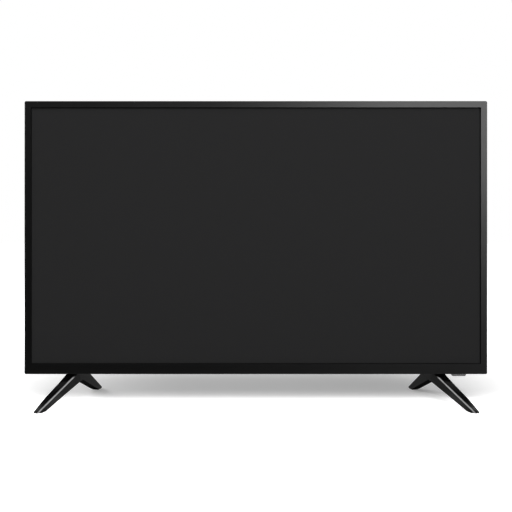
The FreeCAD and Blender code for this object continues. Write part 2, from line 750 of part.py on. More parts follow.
def front_bezel():
    """Moulded front frame: a lip round the window, side walls and two posts for the sensor board."""
    body = new_body("front_bezel")
    outline = front_sketch(body, front_y)
    rounded(outline, -half_width, half_width, s.stand_height, set_high, s.bezel_corner)
    pad(body, outline, s.bezel_depth)
    hollow = front_sketch(body, seam_y)
    rectangle(hollow, -inner_half, inner_half, inner_low, inner_high)
    pocket(body, hollow, s.bezel_depth - s.bezel_lip, along=True)
    window = front_sketch(body, front_y)
    rectangle(window, -window_half, window_half, window_low, window_high)
    pocket(body, window, s.bezel_lip)
    slot = floor_sketch(body, inner_low)
    neck = s.tab_top / 2 - s.tab_neck + s.tab_play
    rectangle(slot, s.tab_x - neck, s.tab_x + neck,
              -s.tab_front + s.tab_neck - s.tab_play, s.tab_depth - s.tab_front - s.tab_neck + s.tab_play)
    pocket(body, slot, s.bezel_wall)
    posts = floor_sketch(body, inner_low)
    reach = s.sensor_half - s.sensor_post_inset
    for side in (-1, 1):
        regular(posts, s.tab_x + side * reach, s.sensor_post_inset - s.sensor_front, s.sensor_post_radius)
    pad(body, posts, s.sensor_post, along=True)
    front = front_y.value
    dress(body, "Chamfer", s.window_bevel, lambda edge: flat_at(edge, "y", front) and inside_window(edge))
    dress(body, "Chamfer", s.bezel_edge, lambda edge: flat_at(edge, "y", front) and on_outline(edge))
    return body


def flat_at(edge, axis, level):
    """True when all of an edge lies at one level."""
    box = edge.BoundBox
    low, high = getattr(box, axis.upper() + "Min"), getattr(box, axis.upper() + "Max")
    return abs(low - level) < 1e-4 and abs(high - level) < 1e-4


def inside_window(edge):
    """True for the edges round the window."""
    box = edge.BoundBox
    return max(abs(box.XMin), abs(box.XMax)) < window_half.value + 0.01 and box.ZMin > window_low.value - 0.01


def on_outline(edge):
    """True for the edges of the front frame's outer outline."""
    box = edge.BoundBox
    reach = s.bezel_corner.value + 0.01
    far_across = half_width.value - min(abs(box.XMin), abs(box.XMax)) < reach
    return far_across or box.ZMin < s.stand_height.value + reach or box.ZMax > set_high.value - reach


def frame_ring(label, y, thick, outer, inner, along=False):
    """A flat ring between two rectangles, each given as half width, low and high."""
    body = new_body(label)
    drawn = front_sketch(body, y)
    rectangle(drawn, -outer[0], outer[0], outer[1], outer[2])
    rectangle(drawn, -inner[0], inner[0], inner[1], inner[2])
    pad(body, drawn, thick, along)
    return body


def panel_gasket():
    """Foam strip between the lip and the screen."""
    near, far = s.gasket_inset, s.gasket_inset + s.gasket_wide
    return frame_ring("panel_gasket", lip_y, s.gasket_thick,
                      (window_half + far, window_low - far, window_high + far),
                      (window_half + near, window_low - near, window_high + near))


def lcd_cell():
    """The screen: two sheets of glass, the rear one longer at the bottom where the films are bonded."""
    body = new_body("lcd_cell")
    sheets = front_sketch(body, cell_y)
    rectangle(sheets, -cell_half, cell_half, cell_low + s.glass_step, cell_high)
    pad(body, sheets, s.cell_thick)
    rear = front_sketch(body, frame_y)
    rectangle(rear, -cell_half, cell_half, cell_low, cell_low + s.glass_step)
    pad(body, rear, s.rear_glass, along=True)
    return body


def source_boards():
    """Two long thin boards under the screen that drive its columns."""
    low = cell_low - s.gasket_thick - s.source_height
    y = frame_y - s.rear_glass
    return group("source_boards", [
        block("source_board_%s" % side, left, left + s.source_length, y, frame_y, low, low + s.source_height)
        for side, left in (("left", -s.source_inner - s.source_length), ("right", s.source_inner))
    ])


def cof_films():
    """Thin films that run from the screen's rear glass down onto the source boards."""
    high = cell_low + s.glass_step
    low = cell_low - s.gasket_thick - s.film_lap
    y = frame_y - s.rear_glass - s.film_thick
    master = block("cof_film", measure(0), s.film_width, y, y + s.film_thick, low, high)
    doc.recompute()
    step = s.source_length / s.film_count
    places = []
    for side in (-1, 1):
        for number in range(int(s.film_count.value)):
            middle = side * (s.source_inner + step * (number + 0.5))
            places.append((middle - s.film_width / 2, y, low))
    return repeat("cof_films", master, places)


def mid_frame():
    """Moulded middle frame that carries the screen in front and the optical sheets behind."""
    outer = (inner_half - s.frame_gap, inner_low + s.frame_gap, inner_high - s.frame_gap)
    body = frame_ring("mid_frame_blank", frame_y, s.frame_plate, outer, (opening_half, opening_low, opening_high))
    rim = front_sketch(body, frame_y)
    rectangle(rim, -outer[0], outer[0], outer[1], outer[2])
    rectangle(rim, -cell_half - s.cell_gap, cell_half + s.cell_gap,
              outer[1] + s.rim_foot, cell_high + s.cell_gap)
    pad(body, rim, s.cell_thick + s.gasket_thick, along=True)
    ledge = front_sketch(body, pan_y)
    rectangle(ledge, -opening_half - s.ledge_width, opening_half + s.ledge_width,
              opening_low - s.ledge_width, opening_high + s.ledge_width)
    pocket(body, ledge, s.frame_plate - s.frame_ledge, along=True)
    notch = front_sketch(body, pan_y)
    rectangle(notch, s.tab_x - s.notch_half, s.tab_x + s.notch_half,
              s.stand_height, s.stand_height + s.notch_high)
    pocket(body, notch, pan_y - front_y, along=True)
    return cut("mid_frame", body, cover_screw_holes("mid_frame_hole", frame_y, s.frame_plate))


def cover_screw_holes(label, front, length):
    """Six-sided holes for the shanks of the cover screws."""
    hole = rod(label, 6, s.screw_shank + s.screw_play, length)
    return repeat(label + "s", hole, [(x, front, z) for x, z in pillar_places()], *TOWARDS_BACK)


def sheet_half():
    """Half width, low and high of the optical sheets in their recess."""
    reach = s.ledge_width - s.sheet_gap
    return opening_half + reach, opening_low - reach, opening_high + reach


def optical_films():
    """Loose films that spread and brighten the light."""
    half, low, high = sheet_half()
    first = frame_y + s.frame_ledge
    return group("optical_films", [
        block("optical_film_%d" % (number + 1), -half, half, first + s.optical_film * number,
              first + s.optical_film * (number + 1), low, high)
        for number in range(int(s.optical_films.value))
    ])


def diffuser_plate():
    """Thick white plate behind the films."""
    half, low, high = sheet_half()
    return block("diffuser_plate", -half, half, frame_y + s.frame_ledge + s.optical_film * s.optical_films,
                 pan_y, low, high)


def standoff_places():
    """Where the three boards are screwed to the pan."""
    boards = (
        (s.main_left, s.main_right, s.board_low, s.board_high),
        (s.power_left, s.power_right, s.board_low, s.board_high),
        (-s.timing_half, s.timing_half, s.timing_low, s.timing_high),
    )
    places = []
    for left, right, low, high in boards:
        for x, z in itertools.product((left + s.board_inset, right - s.board_inset),
                                      (low + s.board_inset, high - s.board_inset)):
            places.append((x, z))
    return places


def post_places():
    """Where the diffuser posts stand, midway between the light bars."""
    return [(side * s.post_x, screen_mid + up * s.bar_pitch / 2) for side in (-1, 1) for up in (-1, 1)]


def backlight_pan():
    """Pressed steel tray behind the light bars, with a flange, board standoffs and speaker pins."""
    body = new_body("pan_blank")
    steel = s.pan_skin
    flange = front_sketch(body, pan_y)
    reach = inner_half - s.frame_gap - s.pan_inset
    rectangle(flange, -reach, reach, inner_low + s.pan_inset, inner_high - s.pan_inset)
    pad(body, flange, s.pan_steel)
    outer = front_sketch(body, pan_y)
    rectangle(outer, -mouth_half - steel, mouth_half + steel, mouth_low - steel, mouth_high + steel)
    outer_floor = front_sketch(body, pan_back)
    rectangle(outer_floor, -floor_half - steel, floor_half + steel, floor_low - steel, floor_high + steel)
    loft(body, "AdditiveLoft", outer, outer_floor)
    inner = front_sketch(body, pan_y)
    rectangle(inner, -mouth_half, mouth_half, mouth_low, mouth_high)
    inner_floor = front_sketch(body, floor_y)
    rectangle(inner_floor, -floor_half, floor_half, floor_low, floor_high)
    loft(body, "SubtractiveLoft", inner, inner_floor)
    notch = front_sketch(body, pan_y)
    rectangle(notch, s.tab_x - s.notch_half, s.tab_x + s.notch_half,
              s.stand_height, s.stand_height + s.notch_high)
    pocket(body, notch, s.pan_steel)
    seats = [(x, pan_back, z) for x, z in standoff_places()]
    ears = [(x, pan_back, z) for x, z in ear_places()]
    standoff = rod("standoff", 6, s.standoff_radius, s.standoff_height)
    thread = rod("standoff_thread", 6, s.screw_shank + s.screw_play, s.standoff_height)
    ear_pin = rod("speaker_pin", 6, s.pin_radius, s.box_front + s.ear_thick + 1 - pan_back)
    pressed = fuse("pan_with_studs", body, repeat("standoffs", standoff, seats, *TOWARDS_BACK),
                   repeat("speaker_pins", ear_pin, ears, *TOWARDS_BACK))
    return cut("backlight_pan", pressed, repeat("standoff_threads", thread, seats, *TOWARDS_BACK),
               cover_screw_holes("pan_hole", pan_y, s.pan_steel))


def reflector_tray():
    """White sheet in front of the light bars, with flared sides and a hole for each lens."""
    body = new_body("reflector_blank")
    front = pan_y + s.reflector_thick / 3
    depth = bar_y - front
    shrink = s.pan_taper * depth / (floor_y - pan_y)
    gap = s.reflector_thick * 1.5
    skin = s.reflector_thick * 1.4
    back_of_inside = bar_y - s.reflector_thick
    for kind, inset, back in (("AdditiveLoft", gap, bar_y), ("SubtractiveLoft", gap + skin, back_of_inside)):
        mouth = front_sketch(body, front)
        rectangle(mouth, -mouth_half + inset, mouth_half - inset, mouth_low + inset, mouth_high - inset)
        base = front_sketch(body, back)
        inner = inset + shrink
        rectangle(base, -mouth_half + inner, mouth_half - inner, mouth_low + inner, mouth_high - inner)
        loft(body, kind, mouth, base)
    lens_hole = rod("lens_hole", 6, s.lens_hole, s.lens_height)
    post_hole = rod("post_hole", 6, s.post_base + s.hole_play, s.lens_height)
    return cut("reflector_tray", body, repeat("lens_holes", lens_hole, lens_places(), *TOWARDS_FRONT),
               repeat("post_holes", post_hole, [(x, bar_y, z) for x, z in post_places()], *TOWARDS_FRONT))


def bar_heights():
    """Heights of the light bars' middles."""
    return [screen_mid + (number - (s.bars - 1) / 2) * s.bar_pitch for number in range(int(s.bars.value))]


def lens_places():
    """Where the lenses sit on the bars."""
    first = (s.lenses - 1) / 2 * s.lens_pitch
    return [(number * s.lens_pitch - first, bar_y, z)
            for z in bar_heights() for number in range(int(s.lenses.value))]


def led_bars():
    """Long metal boards that carry the light sources."""
    return group("led_bars", [
        block("led_bar_%d" % number, -s.bar_length / 2, s.bar_length / 2, bar_y, floor_y,
              z - s.bar_height / 2, z + s.bar_height / 2)
        for number, z in enumerate(bar_heights(), 1)
    ])


def led_lenses():
    """Clear caps that spread each source's light, dimpled in the middle."""
    radius, high = s.lens_radius, s.lens_height
    master = turned("led_lens", 6, ((0, 0), (radius, 0), (radius * 0.6, high), (0, high * 0.7)))
    return repeat("led_lenses", master, lens_places(), *TOWARDS_FRONT)


def diffuser_posts():
    """Tapered posts that keep the diffuser plate from sagging."""
    length = floor_y - pan_y - s.hole_play
    master = turned("diffuser_post", 6, ((0, 0), (s.post_base, 0), (s.post_tip, length), (0, length)))
    return repeat("diffuser_posts", master, [(x, floor_y, z) for x, z in post_places()], *TOWARDS_FRONT)


def mount_places():
    """The four corners of the wall mount pattern."""
    half = s.mount_pitch / 2
    return [(x * half, s.mount_centre + z * half) for x in (-1, 1) for z in (-1, 1)]


def wall_mount_posts():
    """Four hexagonal threaded posts, riveted to the pan, that a wall bracket screws into."""
    body = new_body("wall_mount_post")
    across = front_sketch(body, pan_back)
    half, flat = s.mount_post / 2, s.mount_post * round(math.sin(math.radians(60)), 6)
    polygon(across, ((s.mount_post, 0), (half, flat), (-half, flat),
                     (-s.mount_post, 0), (-half, -flat), (half, -flat)))
    end = bulge_y - s.cover_wall - s.mount_post_gap
    pad(body, across, end - pan_back)
    thread = front_sketch(body, end)
    circle(thread, 0, 0, s.mount_hole)
    pocket(body, thread, s.mount_thread, along=True)
    return repeat("wall_mount_posts", body, [(x, 0, z) for x, z in mount_places()])


def foot_point(across, along):
    """A point of the right foot's own frame, moved into the row frame."""
    sine, cosine = turn_ratio("sin", s.foot_toe), turn_ratio("cos", s.foot_toe)
    return s.foot_x + across * cosine - along * sine, s.foot_y + across * sine + along * cosine


def foot_screw_places():
    """Where the right foot's two screws stand."""
    return [foot_point(measure(0), along) for along in (s.foot_screw_rear, -s.foot_screw_front)]


def foot_brackets():
    """Folded steel brackets behind the pan: a foot's screws pass up into the lower plate."""
    body = new_body("foot_bracket_right")
    left, right = s.foot_x - s.bracket_half, s.foot_x + s.bracket_half
    upright = front_sketch(body, pan_back)
    shoulder, taper = floor_low + s.bracket_steel * 4, s.bracket_half / 2
    polygon(upright, ((left, bracket_z), (right, bracket_z), (right, shoulder), (right - taper, s.bracket_high),
                      (left + taper, s.bracket_high), (left, shoulder)))
    pad(body, upright, s.bracket_steel)
    shelf = floor_sketch(body, bracket_z)
    rectangle(shelf, left, right, s.bracket_front, s.bracket_back)
    pad(body, shelf, s.bracket_steel, along=True)
    gusset = side_sketch(body, left)
    polygon(gusset, ((pan_back, bracket_z), (s.bracket_back, bracket_z),
                     (s.bracket_back, bracket_z + s.bracket_steel * 2),
                     (pan_back + s.bracket_steel, s.box_high), (pan_back, s.box_high)))
    pad(body, gusset, s.bracket_steel, along=True)
    holes = floor_sketch(body, bracket_z)
    for x, y in foot_screw_places():
        regular(holes, x, y, s.foot_shank + s.screw_play)
    pocket(body, holes, s.bracket_steel, along=True)
    return group("foot_brackets", [body, mirrored("foot_bracket_left", body)])


def board(label, left, right, low, high):
    """A circuit board with a screw hole in each corner."""
    body = new_body(label)
    drawn = front_sketch(body, board_y)
    rectangle(drawn, left, right, low, high)
    pad(body, drawn, s.board_thick)
    holes = front_sketch(body, board_y)
    for x, z in itertools.product((left + s.board_inset, right - s.board_inset),
                                  (low + s.board_inset, high - s.board_inset)):
        regular(holes, x, z, s.screw_shank + s.screw_play)
    pocket(body, holes, s.board_thick)
    return body


def screw(label, head_radius, head_high, shank_radius, length):
    """A pan head screw: head above its seat at zero, shank below."""
    return turned(label, 6, (
        (0, -length), (shank_radius, -length), (shank_radius, 0), (head_radius, 0),
        (head_radius, head_high * 0.55), (head_radius * 0.7, head_high), (0, head_high)))


def board_screws():
    """The screws that hold the boards to their standoffs."""
    master = screw("board_screw", s.screw_head, s.screw_head_high, s.screw_shank, s.board_screw_long)
    return repeat("board_screws", master, [(x, board_back, z) for x, z in standoff_places()], *TOWARDS_BACK)


def finned(label, left, right, low, high, seat, height, fin, gap):
    """A heatsink: a base on its seat and upright fins."""
    body = new_body(label)
    base = front_sketch(body, seat)
    rectangle(base, left, right, low, high)
    pad(body, base, fin * 1.5)
    blade = front_sketch(body, seat)
    rectangle(blade, left, left + fin, low, high)
    first = pad(body, blade, height)
    repeat_along(body, first, blade, "H_Axis", right - left - fin, fin + gap)
    return body


def socket(label, middle, depth, wide, tall, shell):
    """A socket that faces right: a shell that stands on the board, open at its mouth."""
    body = new_body(label)
    mouth = s.bay_left - s.socket_out
    low, high = middle - wide / 2, middle + wide / 2
    case = side_sketch(body, mouth - depth)
    rectangle(case, board_back, board_back + tall, low, high)
    pad(body, case, depth, along=True)
    hollow = side_sketch(body, mouth)
    rectangle(hollow, board_back + shell, board_back + tall - shell, low + shell, high - shell)
    pocket(body, hollow, depth - shell * 2)
    return body


def tongue(body, middle, wide, tall):
    """The flat contact carrier inside a video or USB socket, set back from its mouth."""
    root = s.bay_left - s.socket_out - s.socket_deep + s.socket_shell * 2
    carrier = side_sketch(body, root)
    side = wide / 2 - s.socket_shell * 4
    across = board_back + tall / 2
    rectangle(carrier, across - s.socket_tongue / 2, across + s.socket_tongue / 2, middle - side, middle + side)
    pad(body, carrier, s.socket_deep - s.socket_shell * 2 - s.tongue_set, along=True)
    return body


def socket_places():
    """Middle, width and height of each socket along the main board's right edge."""
    video = [(s.board_low + s.video_first + s.video_pitch * number, s.video_wide, s.video_high)
             for number in range(2)]
    return video + [(s.board_low + s.usb_place, s.usb_wide, s.usb_high),
                    (s.board_low + s.network_place, s.network_wide, s.network_high)]


def hdmi_sockets():
    """Two digital video sockets."""
    sockets = []
    for number, (middle, wide, tall) in enumerate(socket_places()[:2], 1):
        body = socket("hdmi_socket_%d" % number, middle, s.socket_deep, wide, tall, s.socket_shell)
        sockets.append(tongue(body, middle, wide, tall))
    return group("hdmi_sockets", sockets)


def usb_socket():
    """A universal serial socket."""
    middle, wide, tall = socket_places()[2]
    return tongue(socket("usb_socket", middle, s.socket_deep, wide, tall, s.socket_shell), middle, wide, tall)


def network_socket():
    """A network socket."""
    middle, wide, tall = socket_places()[3]
    return socket("network_socket", middle, s.network_deep, wide, tall, s.network_shell)


def jack_panel():
    """Steel panel behind the bay's side wall, cut out for the sockets and lapped onto the board."""
    body = new_body("jack_panel")
    steel = s.panel_steel
    left = s.bay_left - s.cover_wall - s.hole_play - steel
    face = side_sketch(body, left)
    rectangle(face, board_y + s.hole_play, bulge_y - s.cover_wall - s.panel_back,
              s.board_low + s.panel_margin, s.board_high - s.panel_margin)
    pad(body, face, steel, along=True)
    for middle, wide, tall in socket_places():
        hole = side_sketch(body, left)
        reach = wide / 2 + s.hole_play
        rectangle(hole, board_back - s.hole_play, board_back + tall + s.hole_play,
                  middle - reach, middle + reach)
        pocket(body, hole, steel, along=True)
    below = s.video_first - s.video_wide / 2 - s.panel_tab_space - s.panel_tab
    above = s.network_place + s.network_wide / 2 + s.panel_tab_space
    for rise in (below, above):
        tab = front_sketch(body, board_back)
        rectangle(tab, left - s.panel_lap, left, s.board_low + rise, s.board_low + rise + s.panel_tab)
        pad(body, tab, steel)
    return body


def main_chip():
    """The picture processor."""
    left, low = s.main_left + s.chip_left, s.board_low + s.chip_low
    return block("main_chip", left, left + s.chip_size, board_back, board_back + s.chip_high,
                 low, low + s.chip_size)


def chip_heatsink():
    """Finned heatsink that sits on the processor."""
    left, low = s.main_left + s.chip_left - s.sink_margin, s.board_low + s.chip_low - s.sink_margin
    wide = s.chip_size + s.sink_margin * 2
    seat = board_back + s.chip_high
    return finned("chip_heatsink", left, left + wide, low, low + wide,
                  seat, s.sink_high, s.sink_fin, s.sink_space)


def mains_inlet():
    """Two-pin mains inlet that faces left through the mains bay's wall."""
    body = new_body("mains_inlet")
    face = s.mains_right + s.socket_out
    case = side_sketch(body, face)
    rectangle(case, board_back, board_back + s.inlet_high,
              mains_middle - s.inlet_half, mains_middle + s.inlet_half)
    pad(body, case, s.inlet_deep, along=True)
    mouth = side_sketch(body, face)
    reach = s.inlet_half - s.inlet_end
    cornered(mouth, board_back + s.inlet_wall, board_back + s.inlet_high - s.inlet_wall,
             mains_middle - reach, mains_middle + reach, s.inlet_round, 3)
    pocket(body, mouth, s.inlet_mouth, along=True)
    return body


def mains_pins():
    """The two pins inside the mains inlet."""
    base = s.mains_right + s.socket_out + s.inlet_mouth
    radius, long = s.inlet_pin, s.inlet_pin_long
    master = turned("mains_pin", 8, ((0, 0), (radius, 0), (radius, long - radius), (radius / 2, long), (0, long)))
    places = [(base, board_back + s.inlet_high / 2, mains_middle + side * s.inlet_pin_half) for side in (-1, 1)]
    return repeat("mains_pins", master, places, *TOWARDS_LEFT)


def transformer():
    """Wound transformer: a ferrite core round a bobbin."""
    left, low = s.power_left + s.core_left, s.board_low + s.core_low
    right, high = left + s.core_wide, low + s.core_long
    core = block("transformer_core", left, right, board_back, board_back + s.core_high, low, high)
    bobbin = block("transformer_bobbin", left + s.bobbin_in, right - s.bobbin_in,
                   board_back + s.bobbin_foot, board_back + s.core_high - s.bobbin_foot,
                   low - s.bobbin_out, high + s.bobbin_out)
    foot = block("transformer_foot", left + s.bobbin_in / 2, right - s.bobbin_in / 2,
                 board_back, board_back + s.bobbin_foot, low - s.bobbin_out, high + s.bobbin_out)
    return fuse("transformer", core, bobbin, foot)


def capacitors():
    """Upright electrolytic capacitors, each crimped round its foot."""
    radius, high, groove = s.can_radius, s.can_high, s.can_groove
    master = turned("capacitor", 12, (
        (0, 0), (radius, 0), (radius, groove * 3), (radius - groove, groove * 4), (radius, groove * 5),
        (radius, high), (0, high)))
    upper = [(s.can_left + s.can_pitch * number, s.can_low) for number in range(2)]
    places = [(s.power_left + x, board_back, s.board_low + z)
              for x, z in upper + [(s.third_can_left, s.third_can_low)]]
    return repeat("capacitors", master, places, *TOWARDS_BACK)


def power_heatsink():
    """Finned heatsink of the power stage."""
    left, low = s.power_left + s.rail_left, s.board_low + s.rail_low
    return finned("power_heatsink", left, left + s.rail_wide, low, low + s.rail_long,
                  board_back, s.rail_high, s.rail_fin, s.rail_space)


def line_filter():
    """Ring-shaped mains filter choke that stands on its base."""
    ring = turned("choke_ring", 12, ring_of(s.choke_ring, 0, s.choke_coil, 0, 4, 6)[:-1])
    x, z = s.power_left + s.choke_left, s.board_low + s.choke_low
    outer = s.choke_ring + s.choke_coil
    place(ring, x, board_back + s.choke_base - s.choke_sunk + outer, z)
    side = s.choke_coil * 1.5
    base = block("choke_foot", x - s.choke_ring, x + s.choke_ring, board_back, board_back + s.choke_base,
                 z - side, z + side)
    return fuse("line_filter", ring, base)


def board_connectors():
    """Plug headers on the boards."""
    deep, edge = s.header_deep, s.header_edge
    middle = s.board_low + s.board_high
    low, high = s.board_low + edge, s.board_high - edge - deep
    upright = (middle - s.supply_long) / 2
    ribbon = s.timing_half - s.ribbon_inset
    headers = (
        (s.main_left + edge, upright, deep, s.supply_long),
        (s.main_left + s.chip_left, low, s.signal_long, deep),
        (s.main_left + s.chip_left + s.signal_long * 2, low, s.speaker_long, deep),
        (s.power_right - edge - deep, upright, deep, s.supply_long),
        (s.power_right - edge * 4 - s.backlight_long, high, s.backlight_long, deep),
        (-ribbon, s.timing_low + edge / 2, s.ribbon_long, deep),
        (ribbon - s.ribbon_long, s.timing_low + edge / 2, s.ribbon_long, deep),
    )
    return group("board_connectors", [
        block("board_header_%d" % number, left, left + wide, board_back, board_back + s.header_high,
              low, low + high)
        for number, (left, low, wide, high) in enumerate(headers, 1)
    ])


def insulation_sheet():
    """Stiff plastic sheet on the pan under the power board, holed for its standoffs."""
    body = new_body("insulation_sheet")
    drawn = front_sketch(body, pan_back)
    rectangle(drawn, s.power_left, s.power_right, s.board_low, s.board_high)
    pad(body, drawn, s.reflector_thick)
    holes = front_sketch(body, pan_back)
    for x, z in standoff_places()[4:8]:
        regular(holes, x, z, s.standoff_radius + s.hole_play)
    pocket(body, holes, s.reflector_thick)
    return body


def ear_places():
    """Where the speaker boxes' ears sit on the pan's pins."""
    reach = s.box_half + s.ear_long / 2
    z = s.box_high - s.ear_high / 2
    return [(side * s.speaker_x + end * reach, z) for side in (-1, 1) for end in (-1, 1)]


def speaker_box():
    """Sealed box of the right speaker, with an ear at each end and a hole for the driver below."""
    body = new_body("speaker_box_right")
    left, right = s.speaker_x - s.box_half, s.speaker_x + s.box_half
    outline = front_sketch(body, s.box_front)
    cornered(outline, left, right, s.box_low, s.box_high, s.box_wall * 2, 2)
    pad(body, outline, s.box_back - s.box_front)
    ears = front_sketch(body, s.box_front)
    rectangle(ears, left - s.ear_long, right + s.ear_long, s.box_high - s.ear_high, s.box_high)
    pad(body, ears, s.ear_thick)
    hollow = front_sketch(body, s.box_front + s.box_wall)
    rectangle(hollow, left + s.box_wall, right - s.box_wall, s.box_low + s.box_wall, s.box_high - s.box_wall)
    inside = pocket(body, hollow, s.box_back - s.box_front - s.box_wall * 2)
    inside.Refine = True
    hole = floor_sketch(body, s.box_low)
    regular(hole, s.speaker_x, s.speaker_y, s.driver_radius - s.driver_rim + s.hole_play, DRIVER_SIDES)
    pocket(body, hole, s.box_wall, along=True)
    pins = front_sketch(body, s.box_front)
    for end in (-1, 1):
        regular(pins, s.speaker_x + end * (s.box_half + s.ear_long / 2), s.box_high - s.ear_high / 2,
                s.pin_radius + s.hole_play)
    pocket(body, pins, s.ear_thick)
    return body


def grommets():
    """Rubber rings between the speaker ears and the pan."""
    inner = s.pin_radius + s.screw_play
    high = s.box_front - pan_back
    outer = s.grommet_radius
    master = turned("speaker_grommet", 6, ((inner, 0), (outer, 0), (outer, high), (inner, high)))
    return repeat("speaker_grommets", master, [(x, pan_back, z) for x, z in ear_places()], *TOWARDS_BACK)


def at_driver(body):
    """Stands a turned speaker piece on the right driver's axis, measured up from the box."""
    return place(body, s.speaker_x, s.speaker_y, s.box_low)


def speaker_basket():
    """Pressed basket of the right driver with its rim under the box and its top plate."""
    wall = s.driver_radius - s.driver_rim
    depth, skin, neck = s.basket_depth, s.basket_skin, s.basket_neck
    plate = depth - s.basket_plate
    return at_driver(turned("speaker_basket_right", DRIVER_SIDES, (
        (wall - skin, -s.driver_rim), (s.driver_radius, -s.driver_rim), (s.driver_radius, 0), (wall, 0),
        (neck, plate), (neck, depth), (s.coil_hole, depth), (s.coil_hole, plate), (neck - skin, plate),
        (wall - skin, 0))))


def speaker_magnet():
    """Magnet of the right driver: ring, back plate and pole."""
    low = s.basket_depth
    top = low + s.magnet_high
    back = top - s.magnet_back
    return at_driver(turned("speaker_magnet_right", DRIVER_SIDES, (
        (0, low - s.basket_plate), (s.pole_radius, low - s.basket_plate), (s.pole_radius, back),
        (s.magnet_gap_radius, back), (s.magnet_gap_radius, low), (s.magnet_radius, low), (s.magnet_radius, top),
        (0, top))))


def speaker_cone():
    """Paper cone of the right driver, with its dust cap and voice coil former."""
    rim, neck, skin = s.cone_radius, s.former_radius, s.cone_skin
    top = s.cone_depth
    return at_driver(turned("speaker_cone_right", DRIVER_SIDES, (
        (rim, 0), (neck, top), (neck, top + s.former_long), (neck - s.former_skin, top + s.former_long),
        (neck - s.former_skin, top), (0, top), (0, top - skin), (neck - skin, top - skin * 1.6),
        (rim - skin * 1.6, 0))))


def speaker_surround():
    """Half-round rubber roll between the cone's rim and the basket."""
    inner = s.cone_radius + s.surround_gap
    outer = s.driver_radius - s.driver_rim - s.basket_skin
    thick, middle = s.surround_thick, (inner + outer) / 2
    low = -s.driver_rim / 2
    return at_driver(turned("speaker_surround_right", DRIVER_SIDES, (
        (inner, low), (middle, low - thick), (outer, low), (outer, low + thick), (middle, low),
        (inner, low + thick))))


def pillar_places():
    """Where the cover's screw pillars stand."""
    top = [(x, pillar_high) for x in (-pillar_x, measure(0), pillar_x)]
    sides = [(x, z) for x in (-pillar_x, pillar_x) for z in (s.side_pillar_low, s.side_pillar_high)]
    low = [(x, pillar_low) for x in (-pillar_x, pillar_x)]
    return top + sides + low


def cover_form(label, skin):
    """The rear cover's closed form, set in by a skin: rim, slope and the deep lower housing."""
    body = new_body(label)
    half, low, high = cover_half - skin, cover_low + skin, cover_high - skin
    corner = s.cover_corner - skin
    first_lead = skin * turn_ratio("tan", s.slope_angle / 2)
    last_lead = skin * turn_ratio("tan", (90 - s.slope_angle) / 2)
    bend = rim_y - first_lead
    rim = front_sketch(body, seam_y)
    cornered(rim, -half, half, low, high, corner, 2)
    pad(body, rim, bend - seam_y)
    wide = front_sketch(body, bend)
    cornered(wide, -half, half, low, high, corner, 2)
    flat = front_sketch(body, tray_y - skin)
    run = slope_run + last_lead - skin
    cornered(flat, -half + run, half - run, low + run, high - run, corner, 2)
    loft(body, "AdditiveLoft", wide, flat)
    round_off = s.bulge_corner - skin
    root = front_sketch(body, bend)
    root_half = s.bulge_front_half - skin
    cornered(root, -root_half, root_half, low, s.bulge_front_high - skin, round_off, 4)
    back = front_sketch(body, bulge_y - skin)
    back_half = s.bulge_back_half - skin
    cornered(back, -back_half, back_half, low, s.bulge_back_high - skin, round_off, 4)
    loft(body, "AdditiveLoft", root, back)
    return body


def bay(label, skin):
    """The two side bays' boxes, grown by a skin."""
    far = s.set_width
    front = s.bay_floor - skin
    right = block(label + "_right", s.bay_left - skin, far, front, far, s.bay_low - skin, s.bay_high + skin)
    left = block(label + "_left", -far, s.mains_right + skin, front, far,
                 s.mains_low - skin, s.mains_high + skin)
    return group(label, [right, left])


def slots(label, first, span, pitch, wide, front, back, low, high):
    """A row of equal slots, as many as the pitch fits the span from the first one's left side."""
    slot = block(label, measure(0), wide, front, back, low, high)
    count = int(span.value / pitch.value + 1.001)
    return repeat(label + "s", slot, [(first + pitch * number, front, low) for number in range(count)])


def cover_slots():
    """The cover's vents: upper rows through the housing's slanted top, intakes and speaker slots below."""
    front = tray_y + s.vent_clear
    span = s.vent_span - s.vent_width
    mouth = s.driver_radius - s.driver_rim
    below = (cover_low, cover_floor)
    return [
        slots("upper_left_vent", -s.vent_inner - s.vent_span, span, s.vent_pitch, s.vent_width,
              front, front + s.bulge_depth, s.vent_low, s.vent_high),
        slots("upper_right_vent", s.vent_inner, span, s.vent_pitch, s.vent_width,
              front, front + s.bulge_depth, s.vent_low, s.vent_high),
        slots("intake", -s.intake_half, s.intake_half * 2 - s.vent_width, s.vent_pitch, s.vent_width,
              s.intake_front, s.intake_back, *below),
        slots("left_speaker_slot", -s.speaker_x - mouth, mouth * 2 - s.grille_width, s.grille_pitch, s.grille_width,
              s.speaker_y - s.grille_half, s.speaker_y + s.grille_half, *below),
        slots("right_speaker_slot", s.speaker_x - mouth, mouth * 2 - s.grille_width, s.grille_pitch, s.grille_width,
              s.speaker_y - s.grille_half, s.speaker_y + s.grille_half, *below),
    ]


